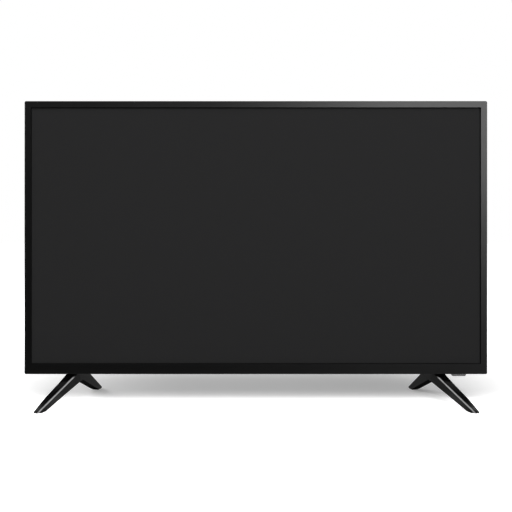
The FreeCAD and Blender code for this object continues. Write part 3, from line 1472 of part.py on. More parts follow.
def rear_cover():
    """Moulded rear cover: a shallow tray over the panel and a deep lower housing with vents and bays."""
    outer = cut("cover_outside", cover_form("cover_outer_form", measure(0)), bay("outer_bays", measure(0)))
    inner = cut("cover_inside", cover_form("cover_inner_form", s.cover_wall), bay("inner_bays", s.cover_wall))
    shell = cut("cover_shell", outer, inner)
    posts = [rod("pillar_%d" % number, 8, s.pillar_radius, tray_y - pillar_y, x, pillar_y, z, *TOWARDS_BACK)
             for number, (x, z) in enumerate(pillar_places(), 1)]
    pillars = doc.addObject("Part::Common", "cover_pillars")
    pillars.Base = group("pillar_posts", posts)
    limit = block("pillar_limit", -half_width, half_width, pillar_y, seam_y, s.stand_height, set_high)
    pillars.Tool = fuse("pillar_space", outer, limit)
    recess = rod("pillar_recess", 10, s.recess_radius, s.slope_depth + s.cover_rim)
    recesses = repeat("pillar_recesses", recess, [(x, pillar_y + s.pillar_floor, z) for x, z in pillar_places()],
                      *TOWARDS_BACK)
    mount = rod("cover_mount_hole", 12, s.mount_cover_hole, s.cover_wall * 2)
    mounts = repeat("cover_mount_holes", mount, [(x, bulge_y, z) for x, z in mount_places()], *TOWARDS_FRONT)
    blank = cut("cover_blank", fuse("cover_with_pillars", shell, pillars), recesses, mounts,
                cover_screw_holes("cover_hole", pillar_y, s.pillar_floor))
    doc.recompute()
    body = new_body("cover_before_vents")
    body.BaseFeature = blank
    doc.recompute()
    tongue = front_sketch(body, seam_y)
    reach = s.bezel_wall + s.tongue_gap
    near = reach + s.tongue_thick
    rectangle(tongue, -half_width + reach, half_width - reach, s.stand_height + reach, set_high - reach)
    rectangle(tongue, -half_width + near, half_width - near, s.stand_height + near, set_high - near)
    pad(body, tongue, s.tongue_depth, along=True)
    window = side_sketch(body, s.bay_left)
    window_front = board_back - s.jack_window_lap
    rectangle(window, window_front, window_front + s.jack_window,
              s.bay_low + s.jack_window_margin, s.bay_high - s.jack_window_margin)
    pocket(body, window, s.cover_wall)
    inlet = side_sketch(body, s.mains_right)
    reach = s.inlet_half + s.hole_play
    rectangle(inlet, board_back - s.hole_play, board_back + s.inlet_high + s.hole_play,
              mains_middle - reach, mains_middle + reach)
    pocket(body, inlet, s.cover_wall, along=True)
    below = floor_sketch(body, cover_low)
    for x, y in foot_screw_places():
        regular(below, x, y, s.foot_shank + s.hole_play)
        regular(below, -x, y, s.foot_shank + s.hole_play)
    regular(below, s.tab_x, s.key_y, s.key_radius + s.key_gap, 12)
    pocket(body, below, s.cover_wall, along=True)
    return cut("rear_cover", body, *cover_slots())


def rear_cover_screws():
    """The screws through the cover's pillars into the pan and the middle frame."""
    master = screw("cover_screw", s.screw_head, s.screw_head_high, s.screw_shank, s.cover_screw_long)
    places = [(x, pillar_y + s.pillar_floor, z) for x, z in pillar_places()]
    return repeat("rear_cover_screws", master, places, *TOWARDS_BACK)


def ir_window():
    """Smoked see-through tab under the front frame, with a neck and flange inside it."""
    body = new_body("ir_window")
    top, low = s.tab_top / 2, s.stand_height - s.tab_drop
    tab = front_sketch(body, -s.tab_front)
    bottom = s.tab_bottom / 2
    polygon(tab, ((s.tab_x - bottom, low), (s.tab_x + bottom, low), (s.tab_x + top, s.stand_height),
                  (s.tab_x - top, s.stand_height)))
    pad(body, tab, s.tab_depth)
    neck_half = top - s.tab_neck
    front, back = -s.tab_front + s.tab_neck, s.tab_depth - s.tab_front - s.tab_neck
    neck = floor_sketch(body, s.stand_height)
    rectangle(neck, s.tab_x - neck_half, s.tab_x + neck_half, front, back)
    pad(body, neck, s.bezel_wall + s.tab_flange, along=True)
    flange = floor_sketch(body, inner_low)
    flange_half = neck_half + s.tab_flange_out
    rectangle(flange, s.tab_x - flange_half, s.tab_x + flange_half, front, back)
    pad(body, flange, s.tab_flange, along=True)
    front_level, top_level = -s.tab_front.value, s.stand_height.value
    dress(body, "Fillet", s.bezel_edge,
          lambda edge: flat_at(edge, "y", front_level) and not flat_at(edge, "z", top_level))
    return body


def sensor_board():
    """Small board on the front frame's posts, over the sensor tab and the power key."""
    return block("sensor_board", s.tab_x - s.sensor_half, s.tab_x + s.sensor_half, -s.sensor_front,
                 s.sensor_back, sensor_z, sensor_z + s.sensor_thick)


def ir_receiver():
    """Infrared receiver under the board, over the tab."""
    right, front = s.tab_x - s.receiver_side, s.receiver_set - s.tab_front
    return block("ir_receiver", right - s.receiver_wide, right, front, front + s.receiver_deep,
                 lamp_low, sensor_z)


def standby_led():
    """Standby lamp under the board, over the tab."""
    high = sensor_z - lamp_low
    radius, rim = s.lamp_radius, s.lamp_radius + s.lamp_rim
    body = turned("standby_led", 8, (
        (0, -high), (radius * 0.7, -high + radius * 0.3), (radius, -high + radius), (radius, -s.lamp_rim * 2),
        (rim, -s.lamp_rim * 2), (rim, 0), (0, 0)))
    return place(body, s.tab_x + s.lamp_side, s.lamp_set - s.tab_front, sensor_z)


def key_switch():
    """Push switch under the sensor board, bored for its plunger."""
    half = s.switch_size / 2
    body = new_body("key_switch")
    case = floor_sketch(body, switch_z)
    rectangle(case, s.tab_x - half, s.tab_x + half, s.key_y - half, s.key_y + half)
    pad(body, case, s.switch_high, along=True)
    bore = floor_sketch(body, switch_z)
    regular(bore, s.tab_x, s.key_y, s.key_stem + s.plunger_gap)
    pocket(body, bore, s.plunger_length - s.plunger_out + s.key_travel + s.plunger_gap, along=True)
    return body


def switch_plunger():
    """The switch's own plunger, which the power key pushes up."""
    low = switch_z - s.plunger_out
    return rod("switch_plunger", 6, s.key_stem, s.plunger_length, s.tab_x, s.key_y, low)


def power_key():
    """Power key in the cover's lower rim: cap, flange inside the wall and stem up to the plunger."""
    cap = cover_low - s.key_out
    flange = cover_floor + s.key_flange_out / 9
    stem = switch_z - s.plunger_out
    outer = s.key_radius + s.key_flange_out
    body = turned("power_key", 12, (
        (0, 0), (s.key_radius - s.bezel_edge / 2, 0), (s.key_radius, s.bezel_edge / 2),
        (s.key_radius, flange - cap), (outer, flange - cap), (outer, flange + s.key_flange - cap),
        (s.key_stem, flange + s.key_flange - cap), (s.key_stem, stem - cap), (0, stem - cap)))
    return place(body, s.tab_x, s.key_y, cap)


def at_foot(body):
    """Stands a piece of the right foot at its reference point, turned out with the foot."""
    place(body, s.foot_x, s.foot_y, 0, angle=s.foot_toe.value)
    tie(body, "Placement.Rotation.Angle", s.foot_toe)
    return body


def right_foot():
    """The right foot: a slim arch from its side, cut to a tapered plan, with bores for two screws."""
    body = new_body("foot_right")
    pads = s.pad_thick
    profile = side_sketch(body, 0)
    polygon(profile, (
        (-s.foot_front, pads), (-s.foot_front + s.foot_flat_front, pads), (s.crotch_y, s.crotch_high),
        (s.foot_rear - s.foot_flat_rear, pads), (s.foot_rear, pads), (s.foot_rear, pads + s.foot_heel_high),
        (s.foot_top_rear, cover_low), (-s.foot_top_front, cover_low), (-s.foot_front, pads + s.foot_tip_high)))
    arch = pad(body, profile, s.foot_half * 3, along=True)
    arch.Midplane = True
    plan = floor_sketch(body, cover_low)
    reach = s.foot_half * 3
    rectangle(plan, -reach, reach, -s.foot_front - reach, s.foot_rear + reach)
    polygon(plan, (
        (s.tip_outer, -s.foot_front), (s.foot_half, 0), (s.heel_outer, s.foot_rear - s.foot_skew_rear),
        (-s.heel_inner, s.foot_rear), (-s.foot_half, 0),
        (-s.tip_inner, -s.foot_front + s.foot_skew_front + s.toe_corner),
        (s.toe_corner / 3 - s.tip_inner, -s.foot_front + s.foot_skew_front)))
    pocket(body, plan, cover_low)
    peak = V(0, s.crotch_y.value, s.crotch_high.value)
    dress(body, "Fillet", s.crotch_radius,
          lambda edge: math.hypot(middle(edge).y - peak.y, middle(edge).z - peak.z) < 0.01)
    dress(body, "Chamfer", s.foot_ridge, lambda edge: ridge(edge) and middle(edge).x < 0)
    for along in (s.foot_screw_rear, -s.foot_screw_front):
        bore = floor_sketch(body, 0)
        regular(bore, 0, along, s.foot_bore, 8)
        pocket(body, bore, cover_low - s.foot_screw_seat, along=True)
        hole = floor_sketch(body, 0)
        regular(hole, 0, along, s.foot_shank + s.screw_play, 12)
        pocket(body, hole, cover_low, along=True)
    return at_foot(body)


def middle(edge):
    """The middle of an edge."""
    return edge.valueAt((edge.FirstParameter + edge.LastParameter) / 2)


def ridge(edge):
    """True for the foot's two long sloping edges at the top of its front leg."""
    box = edge.BoundBox
    long_enough = box.YMax - box.YMin > s.foot_front.value / 2
    drops = s.pad_thick.value + s.foot_tip_high.value - 0.5 < box.ZMin and box.ZMax > cover_low.value - 0.5
    return long_enough and drops and box.YMin < -s.foot_front.value / 2


def right_pads():
    """Rubber pads under the right foot's two tips."""
    body = new_body("foot_pads_right")
    drawn = floor_sketch(body, 0)
    inset = s.pad_inset
    flat_end = -s.foot_front + s.foot_flat_front - inset
    outer_side, inner_side = s.tip_outer - inset, inset - s.tip_inner
    polygon(drawn, (
        (outer_side, inset + s.tip_outer / 2 - s.foot_front), (outer_side, flat_end), (inner_side, flat_end),
        (inner_side, s.foot_skew_front + inset - s.foot_front)))
    heel_front = s.foot_rear - s.foot_flat_rear + inset / 3
    outer_side, inner_side = s.heel_outer - inset * 2, inset - s.heel_inner
    polygon(drawn, (
        (outer_side, heel_front), (outer_side, s.foot_rear - s.foot_skew_rear),
        (inner_side, s.foot_rear - inset * 2), (inner_side, heel_front)))
    pad(body, drawn, s.pad_thick, along=True)
    return at_foot(body)


def foot_screws():
    """Two screws up through each foot and the cover into its bracket."""
    master = screw("foot_screw", s.foot_head, s.foot_head_high, s.foot_shank, s.foot_screw_long)
    seat = cover_low - s.foot_screw_seat
    places = [(side * x, y, seat) for side in (-1, 1) for x, y in foot_screw_places()]
    return repeat("foot_screws", master, places, *UPSIDE_DOWN)


def with_mirror(name, source):
    """A right-hand piece together with its left-hand twin."""
    return [source, mirrored(name + "_left", source)]


PIECES = [
    front_bezel(), panel_gasket(), lcd_cell(), source_boards(), cof_films(), mid_frame(), optical_films(),
    diffuser_plate(), backlight_pan(), reflector_tray(), led_bars(), led_lenses(), diffuser_posts(),
    wall_mount_posts(), foot_brackets(),
    board("main_board", s.main_left, s.main_right, s.board_low, s.board_high),
    board("power_board", s.power_left, s.power_right, s.board_low, s.board_high),
    board("timing_board", -s.timing_half, s.timing_half, s.timing_low, s.timing_high),
    board_screws(), board_connectors(), main_chip(), chip_heatsink(), hdmi_sockets(), usb_socket(),
    network_socket(), jack_panel(), mains_inlet(), mains_pins(), transformer(), capacitors(), power_heatsink(),
    line_filter(), insulation_sheet(), grommets(), rear_cover(), rear_cover_screws(), ir_window(),
    sensor_board(), ir_receiver(), standby_led(), key_switch(), switch_plunger(), power_key(), foot_screws(),
]
PIECES += with_mirror("speaker_box", speaker_box())
PIECES += with_mirror("speaker_basket", speaker_basket())
PIECES += with_mirror("speaker_magnet", speaker_magnet())
PIECES += with_mirror("speaker_cone", speaker_cone())
PIECES += with_mirror("speaker_surround", speaker_surround())
PIECES += with_mirror("foot", right_foot())
PIECES += with_mirror("foot_pads", right_pads())

doc.recompute()
for item in doc.Objects:
    if "Invalid" in item.State or "Error" in item.State:
        raise RuntimeError("%s failed: %s" % (item.Label, item.State))
os.makedirs("parts", exist_ok=True)
for piece in PIECES:
    shape = piece.Shape
    if shape.isNull() or not shape.isValid() or not shape.Solids:
        raise RuntimeError("%s has no valid solid" % piece.Label)
    shape.exportStep("parts/%s.step" % piece.Label)
    print("%-26s %3d solids %10.1f mm3" % (piece.Label, len(shape.Solids), shape.Volume))
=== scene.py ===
import math
import random

import bmesh
import bpy
from mathutils import Matrix, Vector


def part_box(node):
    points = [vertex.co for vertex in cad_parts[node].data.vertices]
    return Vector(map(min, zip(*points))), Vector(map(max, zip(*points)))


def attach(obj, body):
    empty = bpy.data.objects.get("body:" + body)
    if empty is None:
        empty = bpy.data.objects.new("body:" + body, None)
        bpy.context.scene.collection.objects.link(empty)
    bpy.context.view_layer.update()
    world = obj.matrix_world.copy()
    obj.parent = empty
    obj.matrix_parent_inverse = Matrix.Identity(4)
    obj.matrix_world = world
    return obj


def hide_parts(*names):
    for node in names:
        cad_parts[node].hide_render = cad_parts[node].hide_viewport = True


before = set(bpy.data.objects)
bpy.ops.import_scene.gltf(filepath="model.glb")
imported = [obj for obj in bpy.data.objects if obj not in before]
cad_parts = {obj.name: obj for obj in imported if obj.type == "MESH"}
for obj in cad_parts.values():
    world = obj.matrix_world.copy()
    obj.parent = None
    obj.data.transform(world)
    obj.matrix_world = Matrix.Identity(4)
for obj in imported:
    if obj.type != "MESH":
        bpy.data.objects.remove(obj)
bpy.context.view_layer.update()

# Front frame: one injection moulding in high-gloss black, polished in the tool, so that it is
# smooth but for a faint ripple. Its lip round the window is left matte, so that it doesn't mirror the
# picture. It clips over the screen from the front and holds everything in place.
GLOSS_BLACK = (0.0012, 0.0012, 0.0013, 1)
RIPPLE_SCALE = 260
RIPPLE_DEPTH = 0.00001
FRAME_EDGE = 0.00012
LIP_GREY = (0.004, 0.004, 0.004)
FLAT_FRONT = -0.9


class Wire:
    """A socket of a finish, used in sums as a number is, so that 1 - mask adds its own node."""

    def __init__(self, socket):
        self.socket = socket

    def node(self, kind, settings=None, values=None, out=0):
        """Adds any node beside this socket: its settings first, then the values or wires of its sockets."""
        tree = self.socket.id_data
        made = tree.nodes.new(kind)
        for name, setting in (settings or {}).items():
            setattr(made, name, setting)
        for name, value in (values or {}).items():
            if isinstance(value, Wire):
                tree.links.new(value.socket, made.inputs[name])
            else:
                made.inputs[name].default_value = value
        return Wire(made.outputs[out])

    def maths(self, operation, first, second=0.0):
        """What a maths operation makes of one or two values."""
        return self.node("ShaderNodeMath", {"operation": operation}, {0: first, 1: second})

    def __add__(self, other):
        return self.maths("ADD", self, other)

    def __radd__(self, other):
        return self.maths("ADD", other, self)

    def __sub__(self, other):
        return self.maths("SUBTRACT", self, other)

    def __rsub__(self, other):
        return self.maths("SUBTRACT", other, self)

    def __mul__(self, other):
        return self.maths("MULTIPLY", self, other)

    def __gt__(self, other):
        return self.maths("GREATER_THAN", self, other)

    def __abs__(self):
        return self.maths("ABSOLUTE", self)

    def sawtooth(self, count):
        """Rises from 0 to 1 and drops back, count times while this value rises by 1."""
        return self.maths("FRACT", self * count)

    def part(self, letter):
        """One coordinate of a place."""
        return self.node("ShaderNodeSeparateXYZ", values={0: self}, out="XYZ".index(letter))

    def scaled(self, x, y, z):
        """A place stretched along each axis."""
        return self.node("ShaderNodeVectorMath", {"operation": "MULTIPLY"}, {0: self, 1: (x, y, z)})

    def noise(self, scale, detail=2.0):
        """Soft random clouds over a place."""
        return self.node("ShaderNodeTexNoise", values={"Vector": self, "Scale": scale, "Detail": detail})

    def cells(self, scale):
        """Distance within a pattern of random cells over a place."""
        return self.node("ShaderNodeTexVoronoi", values={"Vector": self, "Scale": scale})

    def between(self, low, high, out_low=0.0, out_high=1.0):
        """This value's way from low to high, eased at both ends."""
        return self.node("ShaderNodeMapRange", {"interpolation_type": "SMOOTHSTEP"},
                         {0: self, 1: low, 2: high, 3: out_low, 4: out_high})

    def mix(self, first, second):
        """A colour between two, by this value."""
        return self.node("ShaderNodeMix", {"data_type": "RGBA"}, {0: self, 6: first, 7: second}, out=2)

    def bump(self, depth):
        """The surface normal over this height, whose full range is depth metres."""
        return self.node("ShaderNodeBump", values={"Height": self, "Distance": depth, "Strength": 1.0})


def finish(name):
    """A new material: what fills its surface's sockets and gives it back, and the place on the piece."""
    material = bpy.data.materials.new(name)
    material.use_nodes = True
    tree = material.node_tree
    surface = tree.nodes["Principled BSDF"]

    def fill(**sockets):
        for key, value in sockets.items():
            socket = surface.inputs[key.replace("_", " ")]
            if isinstance(value, Wire):
                tree.links.new(value.socket, socket)
            else:
                socket.default_value = value
        return material

    return fill, Wire(tree.nodes.new("ShaderNodeTexCoord").outputs["Object"])


def smooth_below(angle):
    """A geometry group that shades a carried-over piece smooth, but sharp at edges past an angle."""
    group = bpy.data.node_groups.new("smooth_shading", "GeometryNodeTree")
    for way in ("INPUT", "OUTPUT"):
        group.interface.new_socket("Geometry", in_out=way, socket_type="NodeSocketGeometry")
    came = group.nodes.new("NodeGroupInput").outputs[0]
    for kind, domain in (("GeometryNodeRemoveAttribute", None), ("GeometryNodeSetShadeSmooth", "FACE"),
                         ("GeometryNodeSetShadeSmooth", "EDGE")):
        step = group.nodes.new(kind)
        if domain is None:
            step.inputs["Name"].default_value = "custom_normal"
        else:
            step.domain = domain
        group.links.new(came, step.inputs[0])
        came = step.outputs[0]
    bend = group.nodes.new("ShaderNodeMath")
    bend.operation = "LESS_THAN"
    bend.inputs[1].default_value = angle
    group.links.new(group.nodes.new("GeometryNodeInputMeshEdgeAngle").outputs[0], bend.inputs[0])
    group.links.new(bend.outputs[0], step.inputs["Shade Smooth"])
    group.links.new(came, group.nodes.new("NodeGroupOutput").inputs[0])
    return group


SHARP_ANGLE = math.radians(32)
MADE_SHARP_ANGLE = math.radians(35)
WELD_REACH = 1e-6
SAME_POINT = 1e-7
smooth_shading = smooth_below(SHARP_ANGLE)


def soften(piece, edge):
    """Gives a piece smooth shading, and softens its sharp edges by edge metres."""
    piece.modifiers.new("joined", "WELD").merge_threshold = WELD_REACH
    if edge:
        bevel = piece.modifiers.new("soft_edges", "BEVEL")
        bevel.width, bevel.segments, bevel.angle_limit = edge, 2, SHARP_ANGLE
    piece.modifiers.new("shading", "NODES").node_group = smooth_shading
    piece.modifiers.new("flat_faces", "WEIGHTED_NORMAL").keep_sharp = True


def coat_node(node, material, edge=0.0):
    """Gives a carried-over piece its finish, smooth shading and edges softened by edge metres."""
    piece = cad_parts[node]
    piece.data.materials.clear()
    piece.data.materials.append(material)
    soften(piece, edge)


fill, place = finish("gloss_black")
haze = place.noise(9, 3)
gloss_black = fill(
    Base_Color=GLOSS_BLACK,
    Roughness=0.30 + haze * 0.06,
    Specular_IOR_Level=0.5,
    Normal=place.noise(RIPPLE_SCALE).bump(RIPPLE_DEPTH),
)
coat_node("front_bezel", gloss_black, FRAME_EDGE)


def moulded(name, colour, grain, depth, roughness, shine=0.4):
    """Moulded plastic or rubber: a fine grain of pits, and a faint cloudiness from the way it cooled."""
    fill, place = finish(name)
    pits = place.noise(grain, 3)
    darker = tuple(part * 0.8 for part in colour) + (1,)
    return fill(
        Base_Color=place.noise(22, 3).between(0.3, 0.7).mix(darker, colour + (1,)),
        Roughness=roughness + (pits - 0.5) * 0.2,
        Specular_IOR_Level=shine,
        Normal=pits.bump(depth),
    )


frame_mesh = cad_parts["front_bezel"].data
matte_lip = moulded("matte_lip", LIP_GREY, grain=900, depth=0.00003, roughness=0.8, shine=0.05)
frame_mesh.materials.append(matte_lip)
window_middle = sum((Vector(corner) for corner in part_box("front_bezel")), Vector()) / 2
for face in frame_mesh.polygons:
    inward = window_middle - face.center
    inward.y = 0
    if face.normal.dot(inward) > 0 and face.normal.y > FLAT_FRONT:
        face.material_index = 1

# Screen: two sheets of glass with a matte anti-glare film bonded to the front. Switched off it is an
# even dark grey, lighter than the frame round it. A black foam strip seals it against the frame.
SCREEN_GREY = (0.0185, 0.0185, 0.0188, 1)
SCREEN_SPARKLE = (0.0195, 0.0195, 0.0198, 1)
fill, place = finish("screen_film")
coat_node("lcd_cell", fill(
    Base_Color=place.cells(2600).between(0.2, 0.6).mix(SCREEN_GREY, SCREEN_SPARKLE),
    Roughness=0.62,
    Specular_IOR_Level=0.01,
))

foam = moulded("foam", (0.02, 0.02, 0.02), grain=2600, depth=0.0002, roughness=0.9, shine=0.1)
coat_node("panel_gasket", foam)

# Source boards: two long circuit boards under the screen, joined to it by ten amber flexible films that
# each carry a driver chip. The boards are green solder mask over copper tracks.
BOARD_GREEN = (0.012, 0.09, 0.03, 1)
TRACK_GREEN = (0.03, 0.17, 0.06, 1)
TINNED = (0.62, 0.63, 0.62, 1)
TRACK_CELLS = 190.0
TRACKS_IN_CELL = 5
TRACK_EDGE = 0.62
PAD_CELLS = 330.0
PAD_RADIUS = 0.16


def circuit(name, mask, track, across=1.0):
    """A circuit board's face: square-cornered tracks under the mask, and small tinned pads."""
    fill, place = finish(name)
    grid = place.scaled(across, 1, 1)
    tracks = grid.node("ShaderNodeTexVoronoi", {"distance": "CHEBYCHEV"},
                       {"Vector": grid, "Scale": TRACK_CELLS})
    lines = tracks.sawtooth(TRACKS_IN_CELL) > TRACK_EDGE
    pads = grid.node("ShaderNodeTexVoronoi", values={"Vector": grid, "Scale": PAD_CELLS, "Randomness": 0.75})
    pad = PAD_RADIUS - pads > 0
    return fill(
        Base_Color=pad.mix(lines.mix(mask, track), TINNED),
        Metallic=pad * 0.9,
        Roughness=0.3 + place.noise(60) * 0.15,
        Normal=lines.bump(0.00004),
    )


solder_mask = circuit("solder_mask", BOARD_GREEN, TRACK_GREEN)
coat_node("source_boards", solder_mask)
CONDUCTORS_PER_METRE = 2400
fill, place = finish("amber_film")
conductors = place.part("X").sawtooth(CONDUCTORS_PER_METRE) > 0.5
coat_node("cof_films", fill(
    Base_Color=conductors.mix((0.34, 0.15, 0.03, 1), (0.5, 0.26, 0.07, 1)),
    Roughness=0.28 + place.noise(300) * 0.1,
    Normal=conductors.bump(0.00002),
))


def solids(node):
    """The lowest and highest corner of each separate solid of a carried-over piece."""
    mesh = bmesh.new()
    mesh.from_mesh(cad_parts[node].data)
    bmesh.ops.remove_doubles(mesh, verts=mesh.verts, dist=SAME_POINT)
    left, boxes = set(mesh.verts), []
    for first in mesh.verts:
        if first in left:
            left.remove(first)
            group = [first]
            for vert in group:
                for edge in vert.link_edges:
                    other = edge.other_vert(vert)
                    if other in left:
                        left.remove(other)
                        group.append(other)
            boxes.append([Vector([pick(vert.co[axis] for vert in group) for axis in range(3)])
                          for pick in (min, max)])
    mesh.free()
    return boxes


def block(mesh, low, high, edge, steps=2):
    """Adds a block between two corners, with its edges softened by edge metres."""
    low, high = Vector(low), Vector(high)
    stretch = Matrix.Translation((low + high) / 2) @ Matrix.Diagonal((*(high - low), 1))
    made = bmesh.ops.create_cube(mesh, size=1, matrix=stretch)["verts"]
    edges = list({edge for vert in made for edge in vert.link_edges})
    bmesh.ops.bevel(mesh, geom=edges, offset=edge, segments=steps, profile=0.5, affect="EDGES")


def make(name, mesh, body, slot, material, *replaced):
    """Turns a mesh into a piece that rides on a body, in a finish, and hides the pieces it replaces; slot is
    not used.
    """
    bmesh.ops.remove_doubles(mesh, verts=mesh.verts, dist=SAME_POINT)
    bmesh.ops.recalc_face_normals(mesh, faces=mesh.faces)
    data = bpy.data.meshes.new(name)
    mesh.to_mesh(data)
    mesh.free()
    data.shade_smooth()
    data.set_sharp_from_angle(angle=MADE_SHARP_ANGLE)
    data.materials.append(material)
    piece = bpy.data.objects.new(name, data)
    bpy.context.scene.collection.objects.link(piece)
    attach(piece, body)
    if replaced:
        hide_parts(*replaced)
    return piece


DRIVER_CHIP = Vector((0.008, 0.0002, 0.0007))
CHIP_ABOVE_MIDDLE = 0.0004
CHIP_EDGE = 0.00005
epoxy = moulded("chip_epoxy", (0.016, 0.016, 0.017), grain=2600, depth=0.00002, roughness=0.45)
mesh = bmesh.new()
for low, high in solids("cof_films"):
    seat = Vector(((low.x + high.x) / 2, high.y + DRIVER_CHIP.y, (low.z + high.z) / 2 + CHIP_ABOVE_MIDDLE))
    block(mesh, seat - DRIVER_CHIP, seat + DRIVER_CHIP, CHIP_EDGE)
make("film_driver_chips", mesh, "set", "chip", epoxy)

# Middle frame: a black moulded ring that carries the edge of the screen in front and holds the films
# and the diffuser down on the pan behind.
frame_plastic = moulded("frame_plastic", (0.016, 0.016, 0.016), grain=900, depth=0.00003, roughness=0.55)
coat_node("mid_frame", frame_plastic)

# Optical films and diffuser: brightness films with fine prism ridges, on a milky plate that evens out
# the light of the bars.
PRISMS_PER_METRE = 3000
fill, place = finish("prism_film")
ridge = place.part("Z").sawtooth(PRISMS_PER_METRE)
coat_node("optical_films", fill(
    Base_Color=place.noise(5).mix((0.74, 0.76, 0.78, 1), (0.86, 0.87, 0.88, 1)),
    Roughness=0.22 + ridge * 0.1,
    Normal=ridge.bump(0.00002),
))
milky = moulded("milky_plate", (0.84, 0.84, 0.82), grain=500, depth=0.00001, roughness=0.4)
coat_node("diffuser_plate", milky)

# Backlight: a white reflector tray with sloping sides, three light bars under it with a lens over each
# lamp, and posts that keep the plate off the lenses.
foamed_sheet = moulded("foamed_sheet", (0.88, 0.88, 0.87), grain=700, depth=0.00004, roughness=0.6)
coat_node("reflector_tray", foamed_sheet)
coat_node("led_bars", circuit("white_mask", (0.82, 0.82, 0.8, 1), (0.7, 0.7, 0.68, 1), 0.2))
coat_node("diffuser_posts", foamed_sheet)
AXES = {"Y": Matrix.Rotation(-math.pi / 2, 4, "X"), "Z": Matrix.Identity(4)}


def turn(mesh, outline, place, axis, sides):
    """Adds a turned form: its outline gives each ring's place along the axis, and its radius there."""
    lie = Matrix.Translation(place) @ AXES[axis]
    rings = []
    for along, radius in outline:
        steps = range(1 if radius == 0 else sides)
        angles = [math.tau * step / sides for step in steps]
        reach = [radius(angle) if callable(radius) else radius for angle in angles]
        rings.append([mesh.verts.new(lie @ Vector((far * math.cos(angle), far * math.sin(angle), along)))
                      for far, angle in zip(reach, angles)])
    for first, second in zip(rings, rings[1:]):
        for step in range(sides):
            corners = [first[step % len(first)], first[(step + 1) % sides % len(first)],
                       second[(step + 1) % sides % len(second)], second[step % len(second)]]
            corners = list(dict.fromkeys(corners))
            if len(corners) > 2:
                mesh.faces.new(corners)


LENS_RADIUS = 0.0073
LENS_HIGH = 0.0055
LENS_RIM = 0.0008
LENS_SIDES = 28
DOME_BASE = 0.36
DOME_SWELL = 0.62
DOME_TURNS = [math.pi / 2 * step / 6 for step in range(7)]
LENS_OUTLINE = [
    (0, 0.0026), (0, LENS_RADIUS), (-LENS_RIM, LENS_RADIUS),
    *((-LENS_RIM - (LENS_HIGH - LENS_RIM) * math.sin(turned),
       LENS_RADIUS * (DOME_BASE + DOME_SWELL * math.cos(turned))) for turned in DOME_TURNS),
    (-0.0047, 0.0014), (-0.0040, 0), (-0.0024, 0), (-0.0022, 0.0014), (0, 0.0026),
]
LED_HALF = 0.0014
LED_HIGH = 0.0007
LED_EDGE = 0.0001
fill, place = finish("clear_acrylic")
clear_acrylic = fill(
    Base_Color=place.noise(40).mix((0.9, 0.93, 0.95, 1), (0.97, 0.98, 0.99, 1)),
    Roughness=0.05 + place.noise(300) * 0.04,
    Transmission_Weight=1.0,
    IOR=1.49,
)
lenses, lamps = bmesh.new(), bmesh.new()
for low, high in solids("led_lenses"):
    seat = Vector(((low.x + high.x) / 2, high.y, (low.z + high.z) / 2))
    turn(lenses, LENS_OUTLINE, seat, "Y", LENS_SIDES)
    block(lamps, seat - Vector((LED_HALF, LED_HIGH, LED_HALF)), seat + Vector((LED_HALF, 0, LED_HALF)),
          LED_EDGE)
make("round_lenses", lenses, "set", "clear_plastic", clear_acrylic, "led_lenses")
phosphor = moulded("lamp_phosphor", (0.8, 0.62, 0.1), grain=900, depth=0.00001, roughness=0.35)
make("lamp_packages", lamps, "set", "film", phosphor)

# Backlight pan: one pressing of zinc-plated steel that carries everything. Boards stand on its studs;
# the hexagonal posts of the wall mount and the brackets of the feet are riveted to it.


def sheet_steel(name, colour, roughness, streaks=(1, 1, 1)):
    """Plated steel: the flowers of the zinc, a little drawn out by rolling, and fine scratches."""
    fill, place = finish(name)
    flower = place.scaled(*streaks).cells(70)
    scratch = place.scaled(1, 1, 14).noise(420, 3)
    dull = tuple(part * 0.78 for part in colour) + (1,)
    return fill(
        Base_Color=flower.between(0.1, 0.75).mix(colour + (1,), dull),
        Metallic=0.95,
        Roughness=roughness + scratch * 0.12 + flower * 0.08,
        Normal=scratch.bump(0.00001),
    )


zinc = sheet_steel("zinc_plate", (0.56, 0.57, 0.58), roughness=0.3)
for node in ("backlight_pan", "foot_brackets"):
    coat_node(node, zinc)
post_steel = sheet_steel("post_steel", (0.5, 0.5, 0.5), roughness=0.24, streaks=(6, 1, 6))
coat_node("wall_mount_posts", post_steel)

# Boards: power board on the left, main board on the right and timing board low in the middle, each
# screwed down, with an insulating sheet under the mains side.
for node in ("power_board", "main_board", "timing_board"):
    coat_node(node, solder_mask)
insulation = moulded("insulation", (0.02, 0.02, 0.02), grain=300, depth=0.00001, roughness=0.25)
coat_node("insulation_sheet", insulation)
white_nylon = moulded("white_nylon", (0.78, 0.77, 0.72), grain=900, depth=0.00002, roughness=0.45)
coat_node("board_connectors", white_nylon)
BOARD_BACK = 0.0346
CHIP_SIZES = ((0.0016, 0.0005, 0.0008), (0.002, 0.0006, 0.00125), (0.0032, 0.0007, 0.0016),
              (0.005, 0.0014, 0.004), (0.007, 0.0018, 0.0055))
CHIP_ODDS = (9, 7, 4, 2, 1)
CHIP_TRIES = (("power_board", 46), ("main_board", 95), ("timing_board", 34))
BOARD_MARGIN = 0.002
CLEARANCE = 0.0012
BODY_EDGE = 0.0001
END_LONG = 0.0003
END_HIGH = 0.6
MOUNTED_NODES = ("transformer", "capacitors", "power_heatsink", "line_filter", "mains_inlet", "main_chip",
                 "chip_heatsink", "hdmi_sockets", "usb_socket", "network_socket", "board_connectors",
                 "board_screws", "jack_panel")
mounted = [box for node in MOUNTED_NODES for box in solids(node)]
tin = sheet_steel("tin_plate", (0.66, 0.66, 0.65), roughness=0.22)
chance = random.Random(7)
bodies, ends = bmesh.new(), bmesh.new()
